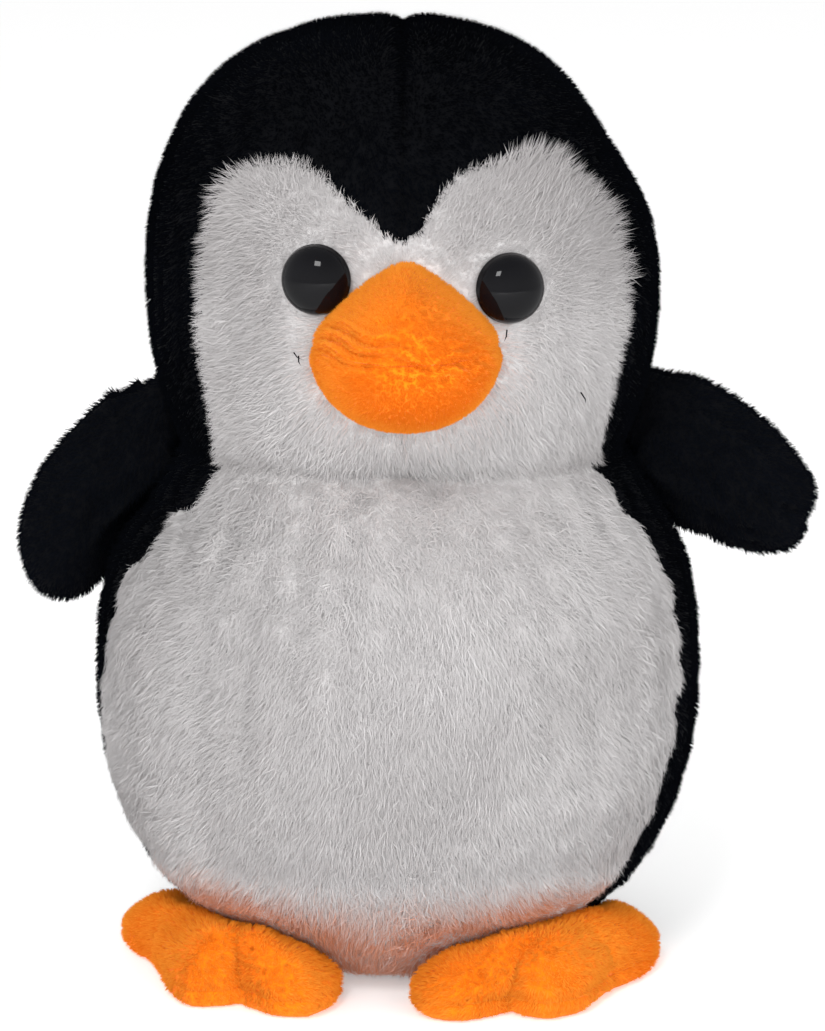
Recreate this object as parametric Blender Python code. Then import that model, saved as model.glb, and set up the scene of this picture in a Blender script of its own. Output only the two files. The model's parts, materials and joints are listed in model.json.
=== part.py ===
"""Plush penguin: sewn plush panels over loose filling, with button eyes, a beak, flippers and feet.

Metres, +Z up. The toy faces -Y, so its own left side is +X. The origin is the middle of its flat
base, on the surface that it stands on.
"""

import math

import bmesh
import bpy
from mathutils import Matrix, Vector

# Cloth and clearances
WALL = 0.0025
GAP = 0.0004
FILLING_SLACK = 0.0011

# A distance that reaches beyond every part of the toy
FAR = 0.4

# Torso: an egg with a flat base
TORSO_CENTRE = Vector((-0.0015, 0, 0.076))
TORSO_HALF_WIDTH = 0.080
TORSO_FRONT = 0.072
TORSO_BACK = 0.068
TORSO_TOP = 0.084
TORSO_BOTTOM = 0.082
TORSO_TOP_PROFILE = 2.5
TORSO_BOTTOM_PROFILE = 2.1
PLAN_PROFILE = 2.2
BASE_HALF_WIDTH = 0.037
BASE_HALF_DEPTH = 0.032
BASE_CUT_DEPTH = 0.010
BASE_CUT_HEIGHT = 0.020
SEAM_INNER_REACH = 0.010

# Head: a rounder egg that sits over the torso on a ball-shaped neck
HEAD_CENTRE = Vector((0, 0, 0.185))
HEAD_HALF_WIDTH = 0.0665
HEAD_FRONT = 0.061
HEAD_BACK = 0.060
HEAD_TOP = 0.066
HEAD_BOTTOM = 0.070
HEAD_TOP_PROFILE = 2.3
HEAD_TOP_SKEW = 0.28
HEAD_BOTTOM_PROFILE = 2.4
NECK_PIVOT = Vector((0, 0, 0.095))
NECK_RADIUS = 0.0738
NECK_SHOULDER_HEIGHT = 0.127
SHOULDER_EASE = 0.4
NECK_SEAM_HEIGHT = 0.142

# Front-view outlines, as (x, z)
FACE_LEFT_EDGE = [
    (0.0000, 0.2042), (0.0042, 0.2056), (0.0066, 0.2100), (0.0094, 0.2150), (0.0135, 0.2190),
    (0.0195, 0.2216),
    (0.0296, 0.2236), (0.0361, 0.2233), (0.0430, 0.2195), (0.0490, 0.2130), (0.0540, 0.2030),
    (0.0562, 0.1920), (0.0566, 0.1815), (0.0550, 0.1690), (0.0527, 0.1550), (0.0505, 0.1430),
]
FACE_RIGHT_EDGE = [
    (0.0000, 0.2042), (-0.0045, 0.2052), (-0.0086, 0.2092), (-0.0145, 0.2142), (-0.0202, 0.2188),
    (-0.0258, 0.2211),
    (-0.0334, 0.2215), (-0.0405, 0.2198), (-0.0460, 0.2150), (-0.0485, 0.2070), (-0.0502, 0.1960),
    (-0.0518, 0.1800), (-0.0510, 0.1700), (-0.0495, 0.1590), (-0.0478, 0.1430),
]
FACE_FLOOR = 0.110
FACE_FLOOR_LEFT = 0.055
FACE_FLOOR_RIGHT = -0.051

# The belly's side seams, as (z, degrees round from the front on the right, and on the left)
BELLY_SEAM = [
    (0.150, 54, 57), (0.139, 56, 58), (0.128, 65.5, 62), (0.113, 70.5, 66), (0.098, 74, 67.5),
    (0.082, 77.5, 68), (0.064, 78.5, 65.5), (0.046, 76.5, 62.5), (0.034, 70.5, 60),
    (0.024, 64, 58), (0.010, 58, 56), (-0.010, 55, 54),
]

# Beak
BEAK_CENTRE = Vector((0.0008, -0.058, 0.1780))
BEAK_HALF_WIDTH = 0.0236
BEAK_HALF_HEIGHT = 0.0210
BEAK_REACH = 0.033
BEAK_UPPER_PROFILE = 1.28
BEAK_LOWER_PROFILE = 2.1
BEAK_WALL = 0.0018
BEAK_FILLING_SLACK = 0.0006

# Button eyes, as (x, z) of their middles
EYE_LEFT = (0.0264, 0.1918)
EYE_RIGHT = (-0.0224, 0.1940)
EYE_RADIUS = 0.009
EYE_RIM = 0.0012
EYE_DOME = 0.0063
EYE_BACK_SHARE = 0.96
STEM_RADIUS = 0.0022
STEM_LENGTH = 0.0095
STEM_TIP_LENGTH = 0.0006
STEM_TIP_SHARE = 0.6
STEM_HOLE_DEPTH = 0.008
WASHER_RADIUS = 0.0075
WASHER_BORE = 0.0026
WASHER_DEPTH = 0.0034
WASHER_THICKNESS = 0.0015
WASHER_POCKET_DEPTH = 0.0102
FACE_CLEARANCE = 0.004

# Bag of pellets in the base
PELLET_RADIUS = 0.034
PELLET_HEIGHT = 0.016
PELLET_TOP_SHARE = 0.68
PELLET_FOOT_SHARE = 0.65
PELLET_POCKET_DEPTH = 0.020

# Flippers: flat pillows sewn on along a steep seam
FLIPPER_DEPTH = 0.010
FLIPPER_HALF_THICKNESS = 0.0078
FLIPPER_PROFILE = 2.6
SEAM_TOP = Vector((0.0652, FLIPPER_DEPTH, 0.160))
SEAM_FOOT = Vector((0.0750, FLIPPER_DEPTH, 0.116))
FLIPPER_LEFT_OUTLINE = [
    (0.0680, 0.1590), (0.0665, 0.1530), (0.0665, 0.1460), (0.0685, 0.1370), (0.0720, 0.1270),
    (0.0770, 0.1180), (0.0835, 0.1140), (0.0890, 0.1110), (0.0955, 0.1100), (0.1010, 0.1090),
    (0.1060, 0.1105), (0.1082, 0.1145), (0.1075, 0.1185), (0.1105, 0.1215), (0.1103, 0.1260),
    (0.1070, 0.1310), (0.1020, 0.1375), (0.0960, 0.1435), (0.0880, 0.1495), (0.0780, 0.1550),
]
FLIPPER_LEFT_MIDDLE = (0.0880, 0.1320)
FLIPPER_RIGHT_OUTLINE = [
    (-0.0680, 0.1585), (-0.0675, 0.1500), (-0.0702, 0.1380), (-0.0738, 0.1280), (-0.0780, 0.1170),
    (-0.0815, 0.1080), (-0.0838, 0.1010), (-0.0880, 0.0970), (-0.0930, 0.0960), (-0.0975, 0.0970),
    (-0.1000, 0.1000), (-0.1020, 0.1050), (-0.1027, 0.1145), (-0.1010, 0.1200), (-0.0975, 0.1280),
    (-0.0925, 0.1350), (-0.0865, 0.1410), (-0.0790, 0.1483), (-0.0730, 0.1545),
]
FLIPPER_RIGHT_MIDDLE = (-0.0870, 0.1250)

# Feet: three-toed pads on the floor, as (x, y); each heel is the line that its foot lifts about
FOOT_LEFT_OUTLINE = [
    (0.0038, -0.0495), (0.0027, -0.0570), (0.0054, -0.0640), (0.0114, -0.0670), (0.0180, -0.0650),
    (0.0280, -0.0580), (0.0320, -0.0630), (0.0380, -0.0650), (0.0460, -0.0605), (0.0510, -0.0500),
    (0.0545, -0.0425), (0.0610, -0.0360), (0.0660, -0.0280), (0.0685, -0.0190), (0.0670, -0.0100),
    (0.0610, -0.0040), (0.0565, -0.0060), (0.0513, -0.0150), (0.0475, -0.0240), (0.0420, -0.0325),
    (0.0320, -0.0410), (0.0180, -0.0472),
]
FOOT_LEFT_MIDDLE = (0.0400, -0.0465)
FOOT_LEFT_HEEL = (Vector((0.005, -0.0495, 0.004)), Vector((0.057, -0.005, 0.004)))
FOOT_RIGHT_OUTLINE = [
    (-0.0170, -0.0470), (-0.0190, -0.0570), (-0.0242, -0.0640), (-0.0330, -0.0625),
    (-0.0385, -0.0570), (-0.0425, -0.0520), (-0.0480, -0.0550), (-0.0560, -0.0555),
    (-0.0610, -0.0470), (-0.0640, -0.0340), (-0.0665, -0.0230), (-0.0695, -0.0170),
    (-0.0744, -0.0100), (-0.0765, -0.0020), (-0.0728, 0.0040), (-0.0650, 0.0050),
    (-0.0580, 0.0000), (-0.0545, -0.0080), (-0.0520, -0.0130), (-0.0480, -0.0232),
    (-0.0415, -0.0325), (-0.0310, -0.0410),
]
FOOT_RIGHT_MIDDLE = (-0.0450, -0.0420)
FOOT_RIGHT_HEEL = (Vector((-0.018, -0.047, 0.004)), Vector((-0.058, 0.000, 0.004)))
FOOT_HEIGHT = 0.019
FOOT_SEAM_HEIGHT = 0.0046
FOOT_PROFILE = 3.2
SOLE_FLAT_SHARE = 0.82
FOOT_WALL = 0.0018
FOOT_LIFT = math.radians(8)
FOOT_HEADROOM = 0.0028

# Mesh fineness
EGG_SEGMENTS = 36
EGG_RINGS = 20
FILLING_SEGMENTS = 24
FILLING_RINGS = 14
NECK_SEGMENTS = 40
NECK_RINGS = 24
BEAK_SEGMENTS = 28
BEAK_RINGS = 16
BEAK_FILLING_SEGMENTS = 20
BEAK_FILLING_RINGS = 12
BASE_SEGMENTS = 32
TURNED_SEGMENTS = 24
EYE_DOME_STEPS = 6
HALVING_STEPS = 40
DOME_SHARES = [0.4, 0.72, 0.91, 1.0]

# A dome of cloth is at least this high, and its hollow at least as high as the second value
LEAST_RISE = 0.0008
LEAST_INNER_RISE = 0.0001
INNER_RISE_LOSS = 0.2

# Finishes: colour, roughness
WHITE_PLUSH = ((0.80, 0.79, 0.80), 0.95)
BLACK_PLUSH = ((0.010, 0.011, 0.014), 0.90)
ORANGE_PLUSH = ((1.00, 0.26, 0.02), 0.90)
WHITE_FIBRE = ((0.85, 0.85, 0.83), 1.00)
PELLET_CLOTH = ((0.70, 0.68, 0.62), 0.90)
BLACK_GLOSS = ((0.008, 0.008, 0.009), 0.08)
CLEAR_WHITE = ((0.80, 0.80, 0.78), 0.40)

UP = Vector((0, 0, 1))


def clear_scene():
    for item in list(bpy.data.objects):
        bpy.data.objects.remove(item, do_unlink=True)


def finish_material(name, finish):
    colour, roughness = finish
    material = bpy.data.materials.new(name)
    material.use_nodes = True
    shader = material.node_tree.nodes["Principled BSDF"]
    shader.inputs["Base Color"].default_value = (*colour, 1)
    shader.inputs["Roughness"].default_value = roughness
    shader.inputs["Metallic"].default_value = 0
    return material


def mesh_object(name, points, faces):
    mesh = bpy.data.meshes.new(name)
    mesh.from_pydata([tuple(point) for point in points], [], faces)
    mesh.update()
    item = bpy.data.objects.new(name, mesh)
    bpy.context.scene.collection.objects.link(item)
    return item


def face_outwards(item):
    """Turns the faces of one closed surface outwards."""
    work = bmesh.new()
    work.from_mesh(item.data)
    bmesh.ops.recalc_face_normals(work, faces=work.faces)
    work.to_mesh(item.data)
    work.free()


def cutter(item):
    """Marks an object as a cutting tool and not a piece of the toy."""
    item.hide_render = True
    item.display_type = "WIRE"
    return item


def cut(item, tool, operation):
    step = item.modifiers.new(operation.title(), "BOOLEAN")
    step.operation = operation
    step.object = tool
    step.solver = "EXACT"


def piece(item, finish, pivot=None):
    """Gives a finished piece its material and, if it moves, hangs it from its pivot."""
    item.data.materials.append(finish_material(item.name, finish))
    item.data.shade_smooth()
    if pivot:
        item.data.transform(Matrix.Translation(-pivot.location))
        item.parent = pivot
    return item


def pivot_empty(name, location):
    empty = bpy.data.objects.new(name, None)
    empty.location = location
    bpy.context.scene.collection.objects.link(empty)
    return empty


def closed_surface(radius, centre, segments, rings):
    """Points and outward faces of a closed surface at radius(direction) from its centre."""
    points = [centre + UP * radius(UP)]
    for ring in range(1, rings):
        polar = math.pi * ring / rings
        for step in range(segments):
            turn = 2 * math.pi * step / segments
            level = math.sin(polar)
            direction = Vector((level * math.cos(turn), level * math.sin(turn), math.cos(polar)))
            points.append(centre + direction * radius(direction))
    points.append(centre - UP * radius(-UP))
    last = len(points) - 1
    faces = []
    for step in range(segments):
        following = (step + 1) % segments
        faces.append((0, 1 + step, 1 + following))
        for ring in range(rings - 2):
            upper = 1 + ring * segments
            lower = upper + segments
            faces.append((upper + step, lower + step, lower + following, upper + following))
        bottom = last - segments
        faces.append((last, bottom + following, bottom + step))
    return points, faces


def solid_blob(name, radius, centre, segments, rings):
    return mesh_object(name, *closed_surface(radius, centre, segments, rings))


def hollow_blob(name, outer, inner, centre, segments, rings):
    """An outer surface with an inner one that faces the hollow, to be cut open into panels."""
    outer_points, outer_faces = closed_surface(outer, centre, segments, rings)
    inner_points, inner_faces = closed_surface(inner, centre, segments, rings)
    shift = len(outer_points)
    hollow_faces = [tuple(shift + index for index in reversed(face)) for face in inner_faces]
    return mesh_object(name, outer_points + inner_points, outer_faces + hollow_faces)


def egg_radius(direction, half_width, depth, height, plan_profile, profile):
    """Distance from an egg's centre to its surface along a unit direction."""
    across = abs(direction.x / half_width) ** plan_profile
    along = abs(direction.y / depth) ** plan_profile
    plan = (across + along) ** (1 / plan_profile)
    return (plan**profile + abs(direction.z / height) ** profile) ** (-1 / profile)


def torso_radius(inset):
    """The torso's surface, this far inside its outer one, flat where it stands."""

    def radius(direction):
        depth = TORSO_FRONT if direction.y < 0 else TORSO_BACK
        height = TORSO_TOP if direction.z > 0 else TORSO_BOTTOM
        profile = TORSO_TOP_PROFILE if direction.z > 0 else TORSO_BOTTOM_PROFILE
        reach = egg_radius(direction, TORSO_HALF_WIDTH, depth, height, PLAN_PROFILE, profile)
        reach = min(reach, shoulder_reach(direction, reach)) - inset
        if direction.z < 0:
            reach = min(reach, (TORSO_CENTRE.z - inset) / -direction.z)
        return reach

    return radius


def shoulder_reach(direction, reach):
    """How far the torso may go before it meets the neck's ball, easing out below the shoulder."""
    height = TORSO_CENTRE.z + direction.z * reach
    ease = max(NECK_SHOULDER_HEIGHT - height, 0) * SHOULDER_EASE
    ball = NECK_RADIUS - GAP + ease
    offset = TORSO_CENTRE - NECK_PIVOT
    toward = direction.dot(offset)
    return -toward + math.sqrt(max(toward**2 - offset.length_squared + ball**2, 0))


def head_radius(inset):
    """The head's surface, this far inside its outer one."""

    def radius(direction):
        depth = HEAD_FRONT if direction.y < 0 else HEAD_BACK
        height = HEAD_TOP if direction.z > 0 else HEAD_BOTTOM
        profile = HEAD_BOTTOM_PROFILE
        if direction.z > 0:
            profile = HEAD_TOP_PROFILE - HEAD_TOP_SKEW * direction.x
        return egg_radius(direction, HEAD_HALF_WIDTH, depth, height, PLAN_PROFILE, profile) - inset

    return radius


def beak_radius(inset):
    """The beak's surface: a rounded triangle above its seam and an oval below it."""

    def radius(direction):
        profile = BEAK_UPPER_PROFILE if direction.z > 0 else BEAK_LOWER_PROFILE
        across = abs(direction.x / BEAK_HALF_WIDTH) ** profile
        upright = abs(direction.z / BEAK_HALF_HEIGHT) ** profile
        outline = (across + upright) ** (1 / profile)
        return 1 / math.hypot(outline, direction.y / BEAK_REACH) - inset

    return radius


def torso_underside(x, y):
    """Height of the torso's lower surface above a point of the floor."""
    across = abs((x - TORSO_CENTRE.x) / TORSO_HALF_WIDTH) ** PLAN_PROFILE
    along = abs(y / TORSO_FRONT) ** PLAN_PROFILE
    plan = (across + along) ** (1 / PLAN_PROFILE)
    if plan >= 1:
        return math.inf
    share = (1 - plan**TORSO_BOTTOM_PROFILE) ** (1 / TORSO_BOTTOM_PROFILE)
    return TORSO_CENTRE.z - TORSO_BOTTOM * share


def head_front_point(x, z):
    """The point of the head's front surface at a place in the front view, by halving."""
    radius = head_radius(0)
    near, far = 0.0, 2 * HEAD_FRONT
    for _ in range(HALVING_STEPS):
        depth = (near + far) / 2
        offset = Vector((x, -depth, z)) - HEAD_CENTRE
        if offset.length < radius(offset.normalized()):
            near = depth
        else:
            far = depth
    return Vector((x, -near, z))


def head_front_normal(x, z):
    """Outward direction of the head's front surface, from points a millimetre apart."""
    step = 0.0005
    across = head_front_point(x + step, z) - head_front_point(x - step, z)
    upright = head_front_point(x, z + step) - head_front_point(x, z - step)
    return across.cross(upright).normalized()


def prism(name, outline, near, far):
    """A cutter with an (x, z) outline that runs from one depth to another."""
    count = len(outline)
    points = [(x, near, z) for x, z in outline] + [(x, far, z) for x, z in outline]
    faces = [tuple(range(count)), tuple(reversed(range(count, 2 * count)))]
    for index in range(count):
        following = (index + 1) % count
        faces.append((index, count + index, count + following, following))
    item = mesh_object(name, points, faces)
    face_outwards(item)
    return cutter(item)


def grown(outline, amount):
    """An outline moved out along its corners' bisectors by this amount."""
    count = len(outline)
    area = sum(
        outline[index - 1][0] * outline[index][1] - outline[index][0] * outline[index - 1][1]
        for index in range(count)
    )
    outward = math.copysign(amount, area)
    moved = []
    for index in range(count):
        before = Vector(outline[index - 1])
        here = Vector(outline[index])
        after = Vector(outline[(index + 1) % count])
        tangent = (here - before).normalized() + (after - here).normalized()
        tangent.normalize()
        moved.append(tuple(here + Vector((tangent.y, -tangent.x)) * outward))
    return moved


def box_cutter(name, low, high):
    (x0, y0, z0), (x1, y1, z1) = low, high
    return prism(name, [(x0, z0), (x1, z0), (x1, z1), (x0, z1)], y0, y1)


def turned(name, profile, axis_point, axis, closed_ring=False):
    """A body turned about an axis from a profile of (radius, distance along the axis)."""
    along = axis.normalized()
    side = along.orthogonal().normalized()
    other = along.cross(side)
    points = []
    rows = []
    for radius, distance in profile:
        if radius == 0:
            rows.append([len(points)] * TURNED_SEGMENTS)
            points.append(axis_point + along * distance)
            continue
        rows.append(list(range(len(points), len(points) + TURNED_SEGMENTS)))
        for step in range(TURNED_SEGMENTS):
            turn = 2 * math.pi * step / TURNED_SEGMENTS
            spoke = side * math.cos(turn) + other * math.sin(turn)
            points.append(axis_point + along * distance + spoke * radius)
    faces = []
    for index in range(len(rows) if closed_ring else len(rows) - 1):
        near, far = rows[index], rows[(index + 1) % len(rows)]
        for step in range(TURNED_SEGMENTS):
            following = (step + 1) % TURNED_SEGMENTS
            corners = [near[step], near[following], far[following], far[step]]
            faces.append(tuple(dict.fromkeys(corners)))
    item = mesh_object(name, points, faces)
    face_outwards(item)
    return item


def dome_rings(outline, middle, rise, inset, place):
    """Rings of points from near the middle of a pillow's side to its edge.

    rise(across, ahead, share) is the height there, and share runs from 0 to 1 at the edge.
    """
    centre = Vector(middle)
    rings = []
    for share in DOME_SHARES:
        ring = []
        for point in outline:
            spoke = Vector(point) - centre
            flat = centre + spoke * (share * (1 - inset / spoke.length))
            least = max(LEAST_RISE - inset * INNER_RISE_LOSS, LEAST_INNER_RISE)
            height = 0 if share == 1 else max(rise(flat.x, flat.y, share) - inset, least)
            ring.append(place(flat.x, flat.y, height))
        rings.append(ring)
    peak = place(centre.x, centre.y, rise(centre.x, centre.y, 0) - inset)
    return peak, rings


def dome_faces(peak_index, first_index, count, rings):
    """Faces of a dome whose rings are stored one after another from the first index."""
    faces = []
    for step in range(count):
        following = (step + 1) % count
        faces.append((peak_index, first_index + step, first_index + following))
        for ring in range(rings - 1):
            inner = first_index + ring * count
            outer = inner + count
            faces.append((inner + step, outer + step, outer + following, inner + following))
    return faces


def cup(name, outline, middle, rise, wall, place):
    """One sewn half of a pillow: a dome of cloth that is open on its seam side."""
    outer_peak, outer_rings = dome_rings(outline, middle, rise, 0, place)
    inner_peak, inner_rings = dome_rings(outline, middle, rise, wall, place)
    count, rings = len(outline), len(outer_rings)
    points = [outer_peak] + [point for ring in outer_rings for point in ring]
    inner_start = len(points)
    points += [inner_peak] + [point for ring in inner_rings for point in ring]
    faces = dome_faces(0, 1, count, rings)
    inner_faces = dome_faces(inner_start, inner_start + 1, count, rings)
    faces += [tuple(reversed(face)) for face in inner_faces]
    outer_edge = 1 + (rings - 1) * count
    inner_edge = inner_start + outer_edge
    for step in range(count):
        following = (step + 1) % count
        faces.append(
            (outer_edge + step, inner_edge + step, inner_edge + following, outer_edge + following)
        )
    item = mesh_object(name, points, faces)
    face_outwards(item)
    return item


def pillow(name, outline, middle, upper_rise, lower_rise, inset, place_upper, place_lower):
    """A closed pillow of filling, this far inside its two cloth halves."""
    upper_peak, upper_rings = dome_rings(outline, middle, upper_rise, inset, place_upper)
    lower_peak, lower_rings = dome_rings(outline, middle, lower_rise, inset, place_lower)
    count, rings = len(outline), len(upper_rings)
    points = [upper_peak] + [point for ring in upper_rings for point in ring]
    lower_start = len(points)
    points += [lower_peak] + [point for ring in lower_rings[:-1] for point in ring]
    faces = dome_faces(0, 1, count, rings)
    inner_faces = dome_faces(lower_start, lower_start + 1, count, rings - 1)
    faces += [tuple(reversed(face)) for face in inner_faces]
    edge = 1 + (rings - 1) * count
    lower_edge = lower_start + 1 + (rings - 2) * count
    for step in range(count):
        following = (step + 1) % count
        faces.append((edge + step, lower_edge + step, lower_edge + following, edge + following))
    item = mesh_object(name, points, faces)
    face_outwards(item)
    return item


def make_torso():
    shell_tools = torso_cutters()
    for name, tools in shell_tools.items():
        panel = hollow_blob(
            name, torso_radius(0), torso_radius(WALL), TORSO_CENTRE, EGG_SEGMENTS, EGG_RINGS
        )
        for tool, operation in tools:
            cut(panel, tool, operation)
        piece(panel, WHITE_PLUSH if name == "belly_panel" else BLACK_PLUSH)
    make_torso_filling()


def torso_cutters():
    """The cutters that leave each torso panel, by the panel's name."""
    belly = belly_wedge("belly_cutter", 0)
    around_belly = belly_wedge("around_belly_cutter", GAP)
    base = base_cutter("base_cutter", 0)
    around_base = base_cutter("around_base_cutter", GAP)
    left = box_cutter("left_half_cutter", (GAP / 2, -FAR, -FAR), (FAR, FAR, NECK_SEAM_HEIGHT))
    right = box_cutter("right_half_cutter", (-FAR, -FAR, -FAR), (-GAP / 2, FAR, NECK_SEAM_HEIGHT))
    front = box_cutter("front_cutter", (-FAR, -FAR, -FAR), (FAR, FAR, NECK_SEAM_HEIGHT))
    back_tools = [(around_belly, "DIFFERENCE"), (around_base, "DIFFERENCE")]
    return {
        "belly_panel": [
            (front, "INTERSECT"),
            (belly, "INTERSECT"),
            (around_base, "DIFFERENCE"),
        ],
        "back_panel_left": [(left, "INTERSECT"), *back_tools],
        "back_panel_right": [(right, "INTERSECT"), *back_tools],
        "base_panel": [(base, "INTERSECT")],
    }


def seam_direction(degrees, growth):
    """The way in plan from the torso's axis to a seam this far round from the front."""
    turn = math.radians(degrees) + growth / TORSO_FRONT
    return Vector((math.sin(turn), -math.cos(turn)))


def belly_wedge(name, growth):
    """A cutter whose side walls run out from the torso's upright axis through the belly's seams."""
    points = []
    for z, right_degrees, left_degrees in BELLY_SEAM:
        right = seam_direction(-right_degrees, -growth)
        left = seam_direction(left_degrees, growth)
        points += [
            (*(left * SEAM_INNER_REACH), z), (*(left * FAR), z), (FAR, -FAR, z),
            (-FAR, -FAR, z), (*(right * FAR), z), (*(right * SEAM_INNER_REACH), z),
        ]
    levels = len(BELLY_SEAM)
    count = len(points) // levels
    faces = [tuple(range(count)), tuple(reversed(range((levels - 1) * count, levels * count)))]
    for level in range(levels - 1):
        for index in range(count):
            following = (index + 1) % count
            upper, lower = level * count, (level + 1) * count
            faces.append((upper + index, lower + index, lower + following))
            faces.append((upper + index, lower + following, upper + following))
    item = mesh_object(name, points, faces)
    face_outwards(item)
    return cutter(item)


def base_cutter(name, growth):
    """An upright oval tube that takes the panel under the toy."""
    count = BASE_SEGMENTS
    points = []
    for height in (-BASE_CUT_DEPTH, BASE_CUT_HEIGHT):
        for step in range(count):
            turn = 2 * math.pi * step / count
            x = (BASE_HALF_WIDTH + growth) * math.cos(turn)
            y = (BASE_HALF_DEPTH + growth) * math.sin(turn)
            points.append((x, y, height))
    faces = [tuple(reversed(range(count))), tuple(range(count, 2 * count))]
    for step in range(count):
        following = (step + 1) % count
        faces.append((step, following, count + following, count + step))
    item = mesh_object(name, points, faces)
    face_outwards(item)
    return cutter(item)


def make_torso_filling():
    filling = solid_blob(
        "body_stuffing", torso_radius(WALL + GAP + FILLING_SLACK), TORSO_CENTRE,
        FILLING_SEGMENTS, FILLING_RINGS,
    )
    bag_floor = WALL + 2 * GAP
    bag_top = bag_floor + PELLET_HEIGHT
    bag_middle = bag_floor + PELLET_HEIGHT / 2
    top_radius = PELLET_RADIUS * PELLET_TOP_SHARE
    pocket_profile = [
        (0, bag_top + GAP), (top_radius + GAP, bag_top + GAP), (PELLET_RADIUS + GAP, bag_middle),
        (PELLET_RADIUS + GAP, -PELLET_POCKET_DEPTH), (0, -PELLET_POCKET_DEPTH),
    ]
    pocket = cutter(turned("pellet_pocket_cutter", pocket_profile, Vector(), UP))
    cut(filling, pocket, "DIFFERENCE")
    piece(filling, WHITE_FIBRE)
    bag_profile = [
        (0, bag_top), (top_radius, bag_top), (PELLET_RADIUS, bag_middle),
        (PELLET_RADIUS * PELLET_FOOT_SHARE, bag_floor), (0, bag_floor),
    ]
    piece(turned("pellet_bag", bag_profile, Vector(), UP), PELLET_CLOTH)


def neck_ball(name, growth):
    """A cutter that hollows the head's underside round the ball-shaped neck."""

    def radius(_direction):
        return NECK_RADIUS + growth

    return cutter(solid_blob(name, radius, NECK_PIVOT, NECK_SEGMENTS, NECK_RINGS))


def make_head(pivot):
    ball = neck_ball("neck_cutter", GAP)
    edges = {
        "left": (FACE_LEFT_EDGE, 1),
        "right": (FACE_RIGHT_EDGE, -1),
    }
    face_outline = FACE_LEFT_EDGE + [(FACE_FLOOR_LEFT, FACE_FLOOR), (FACE_FLOOR_RIGHT, FACE_FLOOR)]
    face_outline += list(reversed(FACE_RIGHT_EDGE[1:]))
    around_face = prism("around_face_cutter", grown(face_outline, GAP), -FAR, GAP)
    filling = solid_blob(
        "head_stuffing", head_radius(WALL + GAP + FILLING_SLACK), HEAD_CENTRE,
        FILLING_SEGMENTS, FILLING_RINGS,
    )
    cut(filling, ball, "DIFFERENCE")
    for side, (edge, sign) in edges.items():
        face = hollow_head(f"face_panel_{side}")
        seam = sign * GAP / 2
        outline = [(seam, edge[0][1])] + edge[1:] + [(edge[-1][0], FACE_FLOOR), (seam, FACE_FLOOR)]
        cut(face, prism(f"face_{side}_cutter", outline, -FAR, 0), "INTERSECT")
        cut(face, ball, "DIFFERENCE")
        make_eye(side, EYE_LEFT if side == "left" else EYE_RIGHT, face, filling, pivot)
        piece(face, WHITE_PLUSH, pivot)
        panel = hollow_head(f"head_panel_{side}")
        half = box_cutter(
            f"head_{side}_cutter",
            (min(seam, sign * FAR), -FAR, -FAR),
            (max(seam, sign * FAR), FAR, FAR),
        )
        cut(panel, half, "INTERSECT")
        cut(panel, around_face, "DIFFERENCE")
        cut(panel, ball, "DIFFERENCE")
        piece(panel, BLACK_PLUSH, pivot)
    piece(filling, WHITE_FIBRE, pivot)
    make_beak(pivot)


def hollow_head(name):
    return hollow_blob(
        name, head_radius(0), head_radius(WALL), HEAD_CENTRE, EGG_SEGMENTS, EGG_RINGS
    )


def make_eye(side, place, face, filling, pivot):
    """A domed button, its stem through the cloth, and the washer that locks it behind."""
    point = head_front_point(*place)
    normal = head_front_normal(*place)
    turns = [math.pi / 2 * step / EYE_DOME_STEPS for step in range(EYE_DOME_STEPS + 1)]
    profile = [
        (EYE_RADIUS * math.sin(turn), GAP + EYE_RIM + EYE_DOME * math.cos(turn)) for turn in turns
    ]
    profile += [
        (EYE_RADIUS * EYE_BACK_SHARE, GAP), (STEM_RADIUS, GAP), (STEM_RADIUS, -STEM_LENGTH),
        (STEM_RADIUS * STEM_TIP_SHARE, -STEM_LENGTH - STEM_TIP_LENGTH),
        (0, -STEM_LENGTH - STEM_TIP_LENGTH),
    ]
    piece(turned(f"eye_{side}", profile, point, normal), BLACK_GLOSS, pivot)
    ring = [
        (WASHER_BORE, -WASHER_DEPTH), (WASHER_RADIUS, -WASHER_DEPTH),
        (WASHER_RADIUS, -WASHER_DEPTH - WASHER_THICKNESS),
        (WASHER_BORE, -WASHER_DEPTH - WASHER_THICKNESS),
    ]
    washer = turned(f"eye_washer_{side}", ring, point, normal, closed_ring=True)
    piece(washer, CLEAR_WHITE, pivot)
    hole_radius = STEM_RADIUS + GAP
    hole = [
        (0, FACE_CLEARANCE), (hole_radius, FACE_CLEARANCE), (hole_radius, -STEM_HOLE_DEPTH),
        (0, -STEM_HOLE_DEPTH),
    ]
    cut(face, cutter(turned(f"eye_hole_{side}_cutter", hole, point, normal)), "DIFFERENCE")
    pocket_radius = WASHER_RADIUS + GAP
    pocket = [
        (0, FACE_CLEARANCE), (pocket_radius, FACE_CLEARANCE),
        (pocket_radius, -WASHER_POCKET_DEPTH - GAP), (0, -WASHER_POCKET_DEPTH - GAP),
    ]
    cut(filling, cutter(turned(f"eye_pocket_{side}_cutter", pocket, point, normal)), "DIFFERENCE")


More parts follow.
